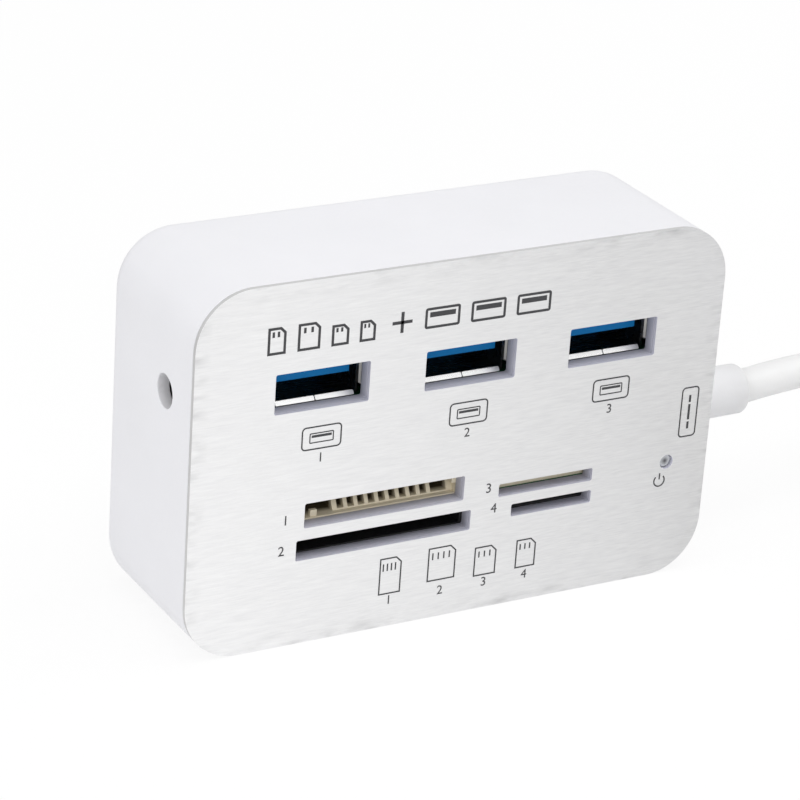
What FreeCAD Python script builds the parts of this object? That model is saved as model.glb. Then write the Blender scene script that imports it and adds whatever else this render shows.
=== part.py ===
import FreeCAD, Part
import math
import os
import re

import Sketcher

# Driving dimensions in millimetres
SIZES = {
    # Casing
    "case_width": 76.0,
    "case_height": 49.5,
    "case_depth": 25.5,
    "corner_radius": 7.65,
    "back_edge_radius": 3.5,
    "side_wall": 1.8,
    "back_wall": 1.8,
    "rim_wall": 1.0,
    "panel_thickness": 0.6,
    "tape_thickness": 0.1,
    "tape_margin": 0.4,
    "frame_thickness": 1.5,
    "frame_gap": 0.1,
    "window_corner": 0.25,
    # Posts and screws under the panel
    "post_inset": 6.0,
    "post_diameter": 5.0,
    "screw_diameter": 2.0,
    "screw_length": 8.0,
    "screw_head_diameter": 3.6,
    "screw_head_height": 0.8,
    "screw_head_sink": 0.1,
    "screw_gap": 0.2,
    # Boards and the rails that hold them
    "hub_board_drop": 17.83,
    "hub_board_thickness": 1.2,
    "reader_board_top": 15.55,
    "reader_board_thickness": 1.0,
    "board_gap": 0.3,
    "rail_thickness": 1.2,
    "rail_width": 2.2,
    "rail_flange_gap": 0.45,
    "rail_gap": 0.1,
    "socket_gap": 0.1,
    # USB ports
    "usb_jack_gap": 0.13,
    "usb_end_gap": 0.26,
    "usb_standoff": 0.45,
    "usb_sheet": 0.3,
    "usb_mouth_width": 12.5,
    "usb_mouth_height": 5.12,
    "usb_bend": 0.3,
    "usb_length": 14.8,
    "usb_lip_length": 0.9,
    "usb_lip_flare": 0.4,
    "usb_lip_width": 10.65,
    "usb_side_lip_height": 2.8,
    "usb_seam": 0.1,
    "usb_leg_setback": 4.0,
    "usb_leg_width": 1.6,
    "usb_leg_reach": 0.6,
    "usb_leg_gap": 0.2,
    "usb_window_width": 13.05,
    "usb_window_height": 5.36,
    "usb_tongue_setback": 1.4,
    "usb_tongue_width": 11.1,
    "usb_tongue_thickness": 1.84,
    "usb_base_gap": 0.05,
    "usb_base_length": 4.0,
    "usb_foot_length": 1.9,
    "usb_contact_width": 1.0,
    "usb_fast_contact_width": 0.6,
    "usb_contact_thickness": 0.2,
    "usb_contact_setback": 1.2,
    "usb_fast_contact_setback": 5.5,
    "usb_contact_inner": 1.0,
    "usb_contact_outer": 3.5,
    "usb_fast_contact_pitch": 2.3,
    "contact_foot_length": 0.8,
    # Power inlet
    "jack_setback": 8.1,
    "jack_height": 4.6,
    "jack_width": 6.0,
    "jack_length": 9.0,
    "jack_gap": 0.1,
    "jack_bore": 3.8,
    "jack_bore_depth": 7.5,
    "jack_pin_diameter": 1.3,
    "jack_pin_setback": 0.8,
    "jack_spring_width": 1.2,
    "jack_spring_thickness": 0.3,
    "jack_spring_setback": 1.5,
    "jack_hole": 4.4,
    # Card slots: places and sizes of windows, sockets and contacts
    "stick_x": -10.51,
    "stick_setback": 0.0,
    "stick_window_width": 22.9,
    "stick_window_low": 0.56,
    "stick_window_height": 3.39,
    "stick_socket_width": 25.2,
    "stick_socket_height": 4.2,
    "stick_socket_depth": 16.5,
    "stick_slot_width": 21.8,
    "stick_slot_low": 2.05,
    "stick_slot_height": 1.9,
    "stick_slot_depth": 15.0,
    "stick_contact_width": 0.5,
    "stick_contact_pitch": 1.5,
    "stick_contact_drop": 0.4,
    "stick_contact_setback": 2.2,
    "stick_contact_shift": 2.07,
    "stick_ledge": 0.7,
    "stick_ramp_foot": 0.75,
    "stick_ramp_top": 1.45,
    "stick_notch_floor": 0.85,
    "stick_notch_width": 0.95,
    "stick_notch_depth": 6.5,
    "stick_side_pocket": 5.6,
    "stick_end_pocket": 2.3,
    "stick_block_inset": 2.15,
    "stick_block_width": 0.93,
    "stick_block_depth": 0.5,
    "stick_block_height": 0.85,
    "card_x": -10.35,
    "card_setback": 0.0,
    "card_window_width": 25.1,
    "card_window_low": 0.05,
    "card_window_height": 2.81,
    "card_socket_width": 27.2,
    "card_socket_height": 3.35,
    "card_socket_depth": 19.0,
    "card_slot_width": 24.4,
    "card_slot_low": 0.3,
    "card_slot_height": 2.4,
    "card_slot_depth": 18.0,
    "card_contact_width": 1.0,
    "card_contact_pitch": 2.5,
    "card_contact_drop": 0.0,
    "card_contact_setback": 9.0,
    "card_contact_shift": 0.0,
    "micro_stick_x": 13.2,
    "micro_stick_setback": 0.35,
    "micro_stick_window_width": 14.09,
    "micro_stick_window_low": 0.08,
    "micro_stick_window_height": 1.78,
    "micro_stick_socket_width": 15.8,
    "micro_stick_socket_height": 2.2,
    "micro_stick_socket_depth": 13.05,
    "micro_stick_slot_width": 13.2,
    "micro_stick_slot_low": 0.65,
    "micro_stick_slot_height": 1.2,
    "micro_stick_slot_depth": 12.05,
    "micro_stick_contact_width": 0.5,
    "micro_stick_contact_pitch": 1.0,
    "micro_stick_contact_drop": 0.0,
    "micro_stick_contact_setback": 5.0,
    "micro_stick_contact_shift": 0.0,
    "micro_card_x": 14.28,
    "micro_card_setback": 0.0,
    "micro_card_window_width": 12.07,
    "micro_card_window_low": 0.32,
    "micro_card_window_height": 1.74,
    "micro_card_socket_width": 14.4,
    "micro_card_socket_height": 2.25,
    "micro_card_socket_depth": 14.0,
    "micro_card_slot_width": 11.3,
    "micro_card_slot_low": 0.55,
    "micro_card_slot_height": 1.25,
    "micro_card_slot_depth": 13.0,
    "micro_card_contact_width": 0.6,
    "micro_card_contact_pitch": 1.1,
    "micro_card_contact_drop": 0.0,
    "micro_card_contact_setback": 6.0,
    "micro_card_contact_shift": 0.0,
    "slot_contact_thickness": 0.2,
    "cover_sheet": 0.2,
    "cover_skirt": 1.2,
    "cover_setback": 0.4,
    # Status light
    "light_inset": 6.24,
    "light_hole": 2.0,
    "light_pipe_gap": 0.1,
    "light_pipe_recess": 0.4,
    "light_pipe_round": 0.3,
    "light_flange_diameter": 2.8,
    "led_height": 1.68,
    "led_width": 3.0,
    "led_depth": 1.4,
    "led_gap": 0.05,
    # Parts on the boards
    "hub_chip_x": 0.0,
    "hub_chip_y": 1.0,
    "hub_chip_side": 8.0,
    "hub_chip_height": 0.9,
    "crystal_x": 10.0,
    "crystal_y": 2.0,
    "crystal_length": 5.0,
    "crystal_width": 3.2,
    "crystal_height": 1.1,
    "can_y": 1.0,
    "can_diameter": 5.0,
    "can_height": 4.8,
    "can_round": 0.4,
    "can_base_side": 5.3,
    "can_base_height": 0.8,
    "ceramic_x": -16.0,
    "ceramic_inset": 3.15,
    "ceramic_pitch": 2.6,
    "ceramic_length": 1.6,
    "ceramic_width": 0.8,
    "ceramic_height": 0.8,
    "reader_chip_link_gap": 3.08,
    "reader_chip_inset": 3.45,
    "reader_chip_side": 5.6,
    "reader_chip_height": 1.0,
    # Pin strip between the boards
    "link_side_inset": 11.2,
    "link_inset": 1.55,
    "link_pitch": 2.54,
    "link_pin": 0.64,
    "link_pin_reach": 0.7,
    "link_hole": 1.0,
    "link_header_width": 2.4,
    "link_header_height": 2.5,
    # Cable, its collar and its coil
    "cable_y": 0.0,
    "cable_z": 18.8,
    "cable_diameter": 4.8,
    "collar_diameter": 7.1,
    "collar_end_diameter": 6.9,
    "collar_length": 13.2,
    "collar_round": 0.55,
    "collar_neck": 5.6,
    "collar_hole_gap": 0.1,
    "collar_flange_width": 9.0,
    "collar_flange_height": 6.2,
    "collar_flange_thickness": 1.5,
    "core_diameter": 1.0,
    "core_pitch": 1.25,
    "core_run": 3.0,
    "core_bend": 3.0,
    "coil_x": 107.0,
    "coil_y": -14.6,
    "coil_radius": 24.0,
    "coil_turns_high": 3.0,
    "coil_round": 1.5,
    "tie_width": 5.0,
    "tie_thickness": 0.6,
    # Plug
    "plug_x": 90.0,
    "plug_neck_length": 7.0,
    "plug_neck_back": 5.8,
    "plug_neck_front": 7.4,
    "plug_body_length": 20.0,
    "plug_body_width": 16.0,
    "plug_body_height": 8.0,
    "plug_body_round": 1.8,
    "plug_shell_length": 12.0,
    "plug_shell_root": 4.0,
    "plug_shell_width": 12.0,
    "plug_shell_height": 4.5,
    "plug_sheet": 0.3,
    "plug_tongue_height": 1.95,
    "plug_tongue_setback": 0.3,
    "plug_contact_width": 1.0,
    "plug_contact_thickness": 0.2,
    "plug_contact_setback": 1.0,
    "plug_contact_length": 8.0,
    "plug_contact_inner": 1.0,
    "plug_contact_outer": 3.5,
}
USB_COUNT = 3
LINK_PIN_COUNT = 6
CERAMIC_COUNT = 6
CORE_COUNT = 4
STICK_CONTACT_COUNT = 10
CARD_CONTACT_COUNT = 9
MICRO_STICK_CONTACT_COUNT = 11
MICRO_CARD_CONTACT_COUNT = 8
# Route of the cable from inside the collar to the coil, chosen by hand
CABLE_ROUTE = [
    (50.0, -0.2, 18.8),
    (62.0, 2.4, 18.8),
    (73.2, 5.1, 16.9),
    (84.6, 7.6, 13.4),
    (96.4, 9.0, 12.0),
]
# Share of a run that the bend at each of its ends takes
BEND_SHARE = 0.45
# Limits for finding edges: cosine of a line along an axis, and distance in millimetres
ALONG_AXIS = 0.999
SAME_PLACE = 0.001
# Sides of a sketched rectangle in drawing order
BOTTOM, RIGHT, TOP, LEFT = range(4)
# Points of a sketched line or circle
START, END, CENTRE = 1, 2, 3
# Size that a sketched shape has before its own is bound
UNSET = 1.0

doc = FreeCAD.newDocument("card_reader_hub")
sheet = doc.addObject("Spreadsheet::Sheet", "Sizes")
for row, (alias, number) in enumerate(SIZES.items(), start=1):
    sheet.set(f"A{row}", alias)
    sheet.set(f"B{row}", str(number))
    sheet.setAlias(f"B{row}", alias)
doc.recompute()

# Faces that several pieces share, as formulas on the sheet
FRONT = "(-case_depth / 2)"
PANEL_BACK = f"({FRONT} + panel_thickness)"
SHELL_FRONT = f"({PANEL_BACK} + tape_thickness)"
FRAME_BACK = f"({SHELL_FRONT} + frame_thickness)"
BACK = "(case_depth / 2)"
CAVITY_BACK = f"({BACK} - back_wall)"
INNER_SIDE = "(case_width / 2 - side_wall)"
SOCKET_FRONT = f"({FRAME_BACK} + socket_gap)"
HUB_TOP = "(case_height - hub_board_drop)"
HUB_BOTTOM = f"({HUB_TOP} - hub_board_thickness)"
READER_BOTTOM = "(reader_board_top - reader_board_thickness)"
USB_Z = f"({HUB_TOP} + usb_standoff + usb_sheet + usb_mouth_height / 2)"
JACK_Y = f"({FRONT} + jack_setback)"
JACK_Z = f"({HUB_TOP} + jack_height / 2)"
JACK_END = f"(-{INNER_SIDE} + jack_gap + jack_length)"
FIRST_USB_X = f"({JACK_END} + usb_jack_gap + usb_sheet + usb_mouth_width / 2)"
USB_ROOM = f"({INNER_SIDE} - {JACK_END} - usb_jack_gap - usb_end_gap)"
USB_PITCH = f"({USB_ROOM} / {USB_COUNT})"
LEG_FRONT = f"({SOCKET_FRONT} + usb_leg_setback)"
LEG_Y = (LEG_FRONT, f"({LEG_FRONT} + usb_leg_width)")
LIGHT_X = "(case_width / 2 - light_inset)"
BOARD_BACK = f"({CAVITY_BACK} - board_gap)"
LINK_X = f"({INNER_SIDE} - link_side_inset)"
LINK_Y = f"({BOARD_BACK} - link_inset)"
LIGHT_Z = "(reader_board_top + led_height / 2)"
PLUG_Y = "(coil_y - coil_radius)"
PLUG_Z = "(plug_body_height / 2)"
CONTACTS_IN = {
    "stick": STICK_CONTACT_COUNT,
    "card": CARD_CONTACT_COUNT,
    "micro_stick": MICRO_STICK_CONTACT_COUNT,
    "micro_card": MICRO_CARD_CONTACT_COUNT,
}
ABOVE_BOARD = {"stick": True, "card": False, "micro_stick": True, "micro_card": False}


def size(alias):
    """Number that the sheet holds under an alias."""
    return float(sheet.get(alias))


def qualified(formula):
    """Formula with the sheet's name before each alias."""
    return re.sub(
        r"[a-z][a-z0-9_]*",
        lambda word: f"Sizes.{word[0]}" if word[0] in SIZES else word[0],
        formula,
    )


def bind(thing, prop, formula):
    thing.setExpression(prop, qualified(formula))


def around(centre, width):
    """Low and high faces of a width about a centre."""
    return f"({centre}) - ({width}) / 2", f"({centre}) + ({width}) / 2"


def usb_centre(number):
    """Place along X of a port, counted from 1 at the left."""
    return f"({FIRST_USB_X} + ({number} - 1) * {USB_PITCH})"


def slot_front(slot):
    """Place along Y of a card socket's front face."""
    return f"({SOCKET_FRONT} + {slot}_setback)"


def from_board(slot, low, high):
    """Heights between two distances from the reader board's face on the slot's side."""
    if ABOVE_BOARD[slot]:
        return f"(reader_board_top + {low})", f"(reader_board_top + {high})"
    return f"({READER_BOTTOM} - ({high}))", f"({READER_BOTTOM} - ({low}))"


# Part primitives with bound sizes
def block(name, x, y, z):
    """Box between a low and a high face along each axis."""
    box = doc.addObject("Part::Box", name)
    for side, (low, high) in zip(("Length", "Width", "Height"), (x, y, z)):
        bind(box, side, f"({high}) - ({low})")
    for axis, (low, _) in zip("xyz", (x, y, z)):
        bind(box, f"Placement.Base.{axis}", low)
    return box


AXIS_TURNS = {
    "x": FreeCAD.Rotation(FreeCAD.Vector(0, 1, 0), 90),
    "y": FreeCAD.Rotation(FreeCAD.Vector(1, 0, 0), -90),
    "z": FreeCAD.Rotation(),
}


def rod(name, axis, start, length, diameter):
    """Cylinder along an axis from its start point."""
    cylinder = doc.addObject("Part::Cylinder", name)
    cylinder.Placement = FreeCAD.Placement(FreeCAD.Vector(), AXIS_TURNS[axis])
    bind(cylinder, "Radius", f"({diameter}) / 2")
    bind(cylinder, "Height", length)
    for letter, place in zip("xyz", start):
        bind(cylinder, f"Placement.Base.{letter}", place)
    return cylinder


def cone_along_x(name, start, length, first_diameter, last_diameter):
    """Cone along X from its start point."""
    cone = doc.addObject("Part::Cone", name)
    cone.Placement = FreeCAD.Placement(FreeCAD.Vector(), AXIS_TURNS["x"])
    bind(cone, "Radius1", f"({first_diameter}) / 2")
    bind(cone, "Radius2", f"({last_diameter}) / 2")
    bind(cone, "Height", length)
    for letter, place in zip("xyz", start):
        bind(cone, f"Placement.Base.{letter}", place)
    return cone


def slanted(name, y, x_front, x_back, z_front, z_back):
    """Block whose front face is shifted against its back face."""
    wedge = doc.addObject("Part::Wedge", name)
    bind(wedge, "Ymin", y[0])
    bind(wedge, "Ymax", y[1])
    for prefix, (x, z) in (("", (x_front, z_front)), ("2", (x_back, z_back))):
        bind(wedge, f"X{prefix}min", x[0])
        bind(wedge, f"X{prefix}max", x[1])
        bind(wedge, f"Z{prefix}min", z[0])
        bind(wedge, f"Z{prefix}max", z[1])
    return wedge


def ramped(name, x, z, y_front, back_low, back_high):
    """Block whose back face leans from one depth at its foot to another at its top."""
    wedge = doc.addObject("Part::Wedge", name)
    wedge.Placement = FreeCAD.Placement(FreeCAD.Vector(), FreeCAD.Rotation(FreeCAD.Vector(1, 0, 0), 90))
    bind(wedge, "Ymin", z[0])
    bind(wedge, "Ymax", z[1])
    for prefix, back in (("", back_low), ("2", back_high)):
        bind(wedge, f"X{prefix}min", x[0])
        bind(wedge, f"X{prefix}max", x[1])
        bind(wedge, f"Z{prefix}min", f"-({back})")
        bind(wedge, f"Z{prefix}max", f"-({y_front})")
    return wedge


def join(name, pieces):
    fused = doc.addObject("Part::MultiFuse", name)
    fused.Shapes = pieces
    return fused


def cut(name, base, tools):
    """Base with one or more tools taken out of it."""
    result = doc.addObject("Part::Cut", name)
    result.Base = base
    result.Tool = tools[0] if len(tools) == 1 else join(f"{name}_tools", tools)
    return result


def group(name, pieces):
    compound = doc.addObject("Part::Compound", name)
    compound.Links = pieces
    return compound


def rounded(name, base, radius_alias, picks):
    """Base with the edges that the test picks rounded."""
    doc.recompute()
    fillet = doc.addObject("Part::Fillet", name)
    fillet.Base = base
    radius = size(radius_alias)
    fillet.Edges = [
        (index, radius, radius) for index, edge in enumerate(base.Shape.Edges, start=1) if picks(edge)
    ]
    return fillet


def runs_along(edge, axis):
    """Whether an edge is a straight line along an axis."""
    if edge.Curve.TypeId != "Part::GeomLine":
        return False
    step = edge.Vertexes[-1].Point - edge.Vertexes[0].Point
    return abs(step.normalize()["xyz".index(axis)]) > ALONG_AXIS


def lies_at(edge, axis, place):
    """Whether a whole edge lies in the plane at a place on an axis."""
    box = edge.BoundBox
    letter = axis.upper()
    low, high = getattr(box, f"{letter}Min"), getattr(box, f"{letter}Max")
    return abs(low - place) < SAME_PLACE and abs(high - place) < SAME_PLACE


# Sketched bodies with bound sizes
def new_body(name):
    return doc.addObject("PartDesign::Body", name)


def new_sketch(body, name, plane, offset):
    """Sketch on one of the body's own origin planes, moved along its normal."""
    sketch = body.newObject("Sketcher::SketchObject", f"{body.Name}_{name}")
    support = next(item for item in body.Origin.OriginFeatures if item.Role == plane)
    sketch.AttachmentSupport = [(support, "")]
    sketch.MapMode = "FlatFace"
    bind(sketch, "AttachmentOffset.Base.z", offset)
    return sketch


def name_and_bind(sketch, index, label, formula):
    sketch.renameConstraint(index, label)
    bind(sketch, f"Constraints.{label}", formula)


def rectangle(sketch, name, across, up):
    """Rectangle between bound places along the sketch's two axes."""
    first = sketch.GeometryCount
    corners = [
        FreeCAD.Vector(-UNSET, -UNSET),
        FreeCAD.Vector(UNSET, -UNSET),
        FreeCAD.Vector(UNSET, UNSET),
        FreeCAD.Vector(-UNSET, UNSET),
    ]
    followers = corners[1:] + corners[:1]
    for corner, follower in zip(corners, followers):
        sketch.addGeometry(Part.LineSegment(corner, follower), False)
    for side, next_side in ((BOTTOM, RIGHT), (RIGHT, TOP), (TOP, LEFT), (LEFT, BOTTOM)):
        meeting = Sketcher.Constraint("Coincident", first + side, END, first + next_side, START)
        sketch.addConstraint(meeting)
        direction = "Horizontal" if side in (BOTTOM, TOP) else "Vertical"
        sketch.addConstraint(Sketcher.Constraint(direction, first + side))
    places = (
        ("left", "DistanceX", LEFT, -UNSET, across[0]),
        ("right", "DistanceX", RIGHT, UNSET, across[1]),
        ("low", "DistanceY", BOTTOM, -UNSET, up[0]),
        ("high", "DistanceY", TOP, UNSET, up[1]),
    )
    for label, kind, side, start, formula in places:
        index = sketch.addConstraint(Sketcher.Constraint(kind, first + side, START, start))
        name_and_bind(sketch, index, f"{name}_{label}", formula)


def circle(sketch, name, across, up, diameter):
    """Circle at a bound place with a bound diameter."""
    shape = Part.Circle(FreeCAD.Vector(UNSET, UNSET), FreeCAD.Vector(0, 0, 1), UNSET)
    line = sketch.addGeometry(shape, False)
    for label, constraint, formula in (
        ("across", Sketcher.Constraint("DistanceX", line, CENTRE, UNSET), across),
        ("up", Sketcher.Constraint("DistanceY", line, CENTRE, UNSET), up),
        ("diameter", Sketcher.Constraint("Diameter", line, 2 * UNSET), diameter),
    ):
        name_and_bind(sketch, sketch.addConstraint(constraint), f"{name}_{label}", formula)


def pad(body, sketch, length, reverse=False):
    feature = body.newObject("PartDesign::Pad", f"{sketch.Name}_pad")
    feature.Profile = sketch
    feature.Reversed = reverse
    bind(feature, "Length", length)


def pocket(body, sketch, length, reverse=False):
    feature = body.newObject("PartDesign::Pocket", f"{sketch.Name}_pocket")
    feature.Profile = sketch
    feature.Reversed = reverse
    bind(feature, "Length", length)


def round_body(body, name, radius, picks):
    """Round the edges of the body so far that the test picks."""
    doc.recompute()
    base = body.Tip
    fillet = body.newObject("PartDesign::Fillet", f"{body.Name}_{name}")
    names = [f"Edge{index}" for index, edge in enumerate(base.Shape.Edges, start=1) if picks(edge)]
    fillet.Base = (base, names)
    bind(fillet, "Radius", radius)


# Windows of the front, as centre, width and height
WINDOWS = {
    f"usb_{number}": (usb_centre(number), USB_Z, "usb_window_width", "usb_window_height")
    for number in range(1, USB_COUNT + 1)
}
for slot in ABOVE_BOARD:
    low, high = from_board(slot, f"{slot}_window_low", f"({slot}_window_low + {slot}_window_height)")
    WINDOWS[slot] = (f"{slot}_x", f"({low} + {high}) / 2", f"{slot}_window_width", f"{slot}_window_height")


def front_plate(name, back, thickness, inset, margin):
    """Flat plate with rounded corners and the front's windows, each grown by a margin."""
    body = new_body(name)
    sketch = new_sketch(body, "outline", "XZ_Plane", f"-({back})")
    half = f"(case_width / 2 - ({inset}))"
    rectangle(sketch, "edge", (f"-{half}", half), (inset, f"case_height - ({inset})"))
    for label, (centre, height, wide, tall) in WINDOWS.items():
        rectangle(
            sketch,
            label,
            around(centre, f"{wide} + 2 * ({margin})"),
            around(height, f"{tall} + 2 * ({margin})"),
        )
    circle(sketch, "light", LIGHT_X, LIGHT_Z, f"light_hole + 2 * ({margin})")
    pad(body, sketch, thickness)
    doc.recompute()
    limit = body.Shape.BoundBox.XMax

    def on_outline(edge):
        return runs_along(edge, "y") and abs(abs(edge.CenterOfMass.x) - limit) < SAME_PLACE

    def on_window(edge):
        return runs_along(edge, "y") and not on_outline(edge)

    round_body(body, "windows", "window_corner", on_window)
    round_body(body, "corners", f"corner_radius - ({inset})", on_outline)
    return body


def post_places():
    """Centres of the four posts, as label, X and Z."""
    across = "(case_width / 2 - post_inset)"
    up = "(case_height - post_inset)"
    return [
        ("low_left", f"-{across}", "post_inset"),
        ("low_right", across, "post_inset"),
        ("high_left", f"-{across}", up),
        ("high_right", across, up),
    ]


# Casing
def make_front():
    front_plate("front_panel", PANEL_BACK, "panel_thickness", "0", "0")
    inset = "(rim_wall + frame_gap)"
    front_plate("panel_tape", SHELL_FRONT, "tape_thickness", inset, "tape_margin")
    frame = front_plate("front_frame", FRAME_BACK, "frame_thickness", inset, "0")
    heads = new_sketch(frame, "heads", "XZ_Plane", f"-({SHELL_FRONT})")
    shanks = new_sketch(frame, "shanks", "XZ_Plane", f"-({SHELL_FRONT})")
    for label, across, up in post_places():
        circle(heads, label, across, up, "screw_head_diameter + screw_gap")
        circle(shanks, label, across, up, "screw_diameter + screw_gap")
    pocket(frame, heads, "screw_head_height + screw_head_sink")
    pocket(frame, shanks, "frame_thickness")


def make_frame_screws():
    head_front = f"({SHELL_FRONT} + screw_head_sink)"
    head_back = f"({head_front} + screw_head_height)"
    screws = []
    for label, across, up in post_places():
        start = (across, head_front, up)
        head = rod(f"head_{label}", "y", start, "screw_head_height", "screw_head_diameter")
        shank = rod(f"shank_{label}", "y", (across, head_back, up), "screw_length", "screw_diameter")
        screws.append(join(f"screw_{label}", [head, shank]))
    group("frame_screws", screws)


def make_rear_shell():
    body = new_body("rear_shell")
    half = "(case_width / 2)"
    outline = new_sketch(body, "outline", "XZ_Plane", f"-({SHELL_FRONT})")
    rectangle(outline, "edge", (f"-{half}", half), ("0", "case_height"))
    pad(body, outline, f"{BACK} - {SHELL_FRONT}", reverse=True)

    for label, inset, end in (("cavity", "side_wall", CAVITY_BACK), ("rebate", "rim_wall", FRAME_BACK)):
        inner = f"(case_width / 2 - {inset})"
        sketch = new_sketch(body, label, "XZ_Plane", f"-({SHELL_FRONT})")
        rectangle(sketch, label, (f"-{inner}", inner), (inset, f"case_height - {inset}"))
        pocket(body, sketch, f"{end} - {SHELL_FRONT}")
        limit = size("case_width") / 2 - size(inset)
        round_body(
            body,
            f"{label}_corners",
            f"corner_radius - {inset}",
            lambda edge: runs_along(edge, "y") and abs(abs(edge.CenterOfMass.x) - limit) < SAME_PLACE,
        )

    side = size("case_width") / 2
    round_body(
        body,
        "corners",
        "corner_radius",
        lambda edge: runs_along(edge, "y") and abs(abs(edge.CenterOfMass.x) - side) < SAME_PLACE,
    )
    back = size("case_depth") / 2
    round_body(body, "back_edge", "back_edge_radius", lambda edge: lies_at(edge, "y", back))

    jack = new_sketch(body, "jack", "YZ_Plane", f"-{half}")
    circle(jack, "jack", JACK_Y, JACK_Z, "jack_hole")
    pocket(body, jack, "side_wall", reverse=True)
    collar = new_sketch(body, "collar", "YZ_Plane", half)
    circle(collar, "collar", "cable_y", "cable_z", "collar_neck + collar_hole_gap")
    pocket(body, collar, "side_wall")


def make_posts():
    """Posts inside the shell that take the frame's screws."""
    posts = []
    for label, across, up in post_places():
        front = (across, FRAME_BACK, up)
        plain = rod(f"post_{label}_plain", "y", front, f"{CAVITY_BACK} - {FRAME_BACK}", "post_diameter")
        pilot = rod(f"pilot_{label}", "y", front, "screw_length", "screw_diameter + screw_gap")
        posts.append(cut(f"post_{label}", plain, [pilot]))
    group("shell_posts", posts)


def make_rails():
    """Rails on the shell's side walls, one under and one over each board at both ends."""
    depth = ("cable_y + collar_flange_width / 2 + rail_flange_gap", CAVITY_BACK)
    inner = f"({INNER_SIDE} - rail_width)"
    rails = []
    levels = (("hub", HUB_BOTTOM, HUB_TOP), ("reader", READER_BOTTOM, "reader_board_top"))
    for board_name, bottom, top in levels:
        under = f"({bottom} - rail_gap)"
        over = f"({top} + rail_gap)"
        for level, up in (
            ("under", (f"{under} - rail_thickness", under)),
            ("over", (over, f"{over} + rail_thickness")),
        ):
            name = f"rail_{board_name}_{level}"
            rails.append(block(f"{name}_left", (f"-{INNER_SIDE}", f"-{inner}"), depth, up))
            rails.append(block(f"{name}_right", (inner, INNER_SIDE), depth, up))
    group("board_rails", rails)


# Boards and the parts soldered to them
def board(name, bottom):
    """Body and outline sketch of a board with the link's holes, ready for more holes."""
    body = new_body(name)
    sketch = new_sketch(body, "outline", "XY_Plane", bottom)
    half = f"({INNER_SIDE} - board_gap)"
    rectangle(
        sketch,
        "edge",
        (f"-{half}", half),
        (f"{FRAME_BACK} + board_gap", BOARD_BACK),
    )
    for pin in range(LINK_PIN_COUNT):
        circle(sketch, f"pin_{pin}", link_pin_x(pin), LINK_Y, "link_hole")
    return body, sketch


def link_pin_x(pin):
    return f"({LINK_X} + ({pin} - ({LINK_PIN_COUNT} - 1) / 2) * link_pitch)"


def leg_sides(number):
    """The two side walls of a port's shell, as label and low and high X."""
    left, right = around(usb_centre(number), "usb_mouth_width + 2 * usb_sheet")
    return [("left", left, f"{left} + usb_sheet"), ("right", f"{right} - usb_sheet", right)]


def make_boards():
    hub, sketch = board("hub_board", HUB_BOTTOM)
    for number in range(1, USB_COUNT + 1):
        for label, low, high in leg_sides(number):
            rectangle(
                sketch,
                f"leg_{number}_{label}",
                (f"{low} - usb_leg_gap", f"{high} + usb_leg_gap"),
                (f"{LEG_Y[0]} - usb_leg_gap", f"{LEG_Y[1]} + usb_leg_gap"),
            )
    pad(hub, sketch, "hub_board_thickness")
    reader, sketch = board("reader_board", READER_BOTTOM)
    pad(reader, sketch, "reader_board_thickness")


def make_board_parts():
    block(
        "hub_chip",
        around("hub_chip_x", "hub_chip_side"),
        around("hub_chip_y", "hub_chip_side"),
        (f"{HUB_BOTTOM} - hub_chip_height", HUB_BOTTOM),
    )
    can = block(
        "crystal_can",
        around("crystal_x", "crystal_length"),
        around("crystal_y", "crystal_width"),
        (f"{HUB_BOTTOM} - crystal_height", HUB_BOTTOM),
    )
    rounded("hub_crystal", can, "can_round", lambda edge: runs_along(edge, "z"))

    cans, bases = [], []
    base_top = f"({HUB_TOP} + can_base_height)"
    board_top = size("case_height") - size("hub_board_drop")
    top = board_top + size("can_base_height") + size("can_height")
    for number in range(1, USB_COUNT):
        across = f"({usb_centre(number)} + {USB_PITCH} / 2)"
        bases.append(
            block(
                f"can_base_{number}",
                around(across, "can_base_side"),
                around("can_y", "can_base_side"),
                (HUB_TOP, base_top),
            )
        )
        plain = rod(f"can_plain_{number}", "z", (across, "can_y", base_top), "can_height", "can_diameter")
        cans.append(rounded(f"can_{number}", plain, "can_round", lambda edge: lies_at(edge, "z", top)))
    group("bulk_capacitors", cans)
    group("capacitor_bases", bases)

    chips = []
    for number in range(CERAMIC_COUNT):
        across = f"(ceramic_x + {number} * ceramic_pitch)"
        chips.append(
            block(
                f"ceramic_{number}",
                around(across, "ceramic_width"),
                around(f"{BOARD_BACK} - ceramic_inset", "ceramic_length"),
                (f"{HUB_BOTTOM} - ceramic_height", HUB_BOTTOM),
            )
        )
    group("ceramic_capacitors", chips)

    chip_right = f"({LINK_X} - {LINK_PIN_COUNT} * link_pitch / 2 - reader_chip_link_gap)"
    block(
        "reader_chip",
        (f"{chip_right} - reader_chip_side", chip_right),
        around(f"{BOARD_BACK} - reader_chip_inset", "reader_chip_side"),
        ("reader_board_top", "reader_board_top + reader_chip_height"),
    )


def make_link():
    pins = [
        block(
            f"link_pin_{pin}",
            around(link_pin_x(pin), "link_pin"),
            around(LINK_Y, "link_pin"),
            (f"{READER_BOTTOM} - link_pin_reach", f"{HUB_TOP} + link_pin_reach"),
        )
        for pin in range(LINK_PIN_COUNT)
    ]
    pin_group = group("link_pins", pins)
    strip = block(
        "link_strip",
        around(LINK_X, f"{LINK_PIN_COUNT} * link_pitch"),
        around(LINK_Y, "link_header_width"),
        ("reader_board_top", "reader_board_top + link_header_height"),
    )
    cut("link_header", strip, [pin_group])


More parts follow.
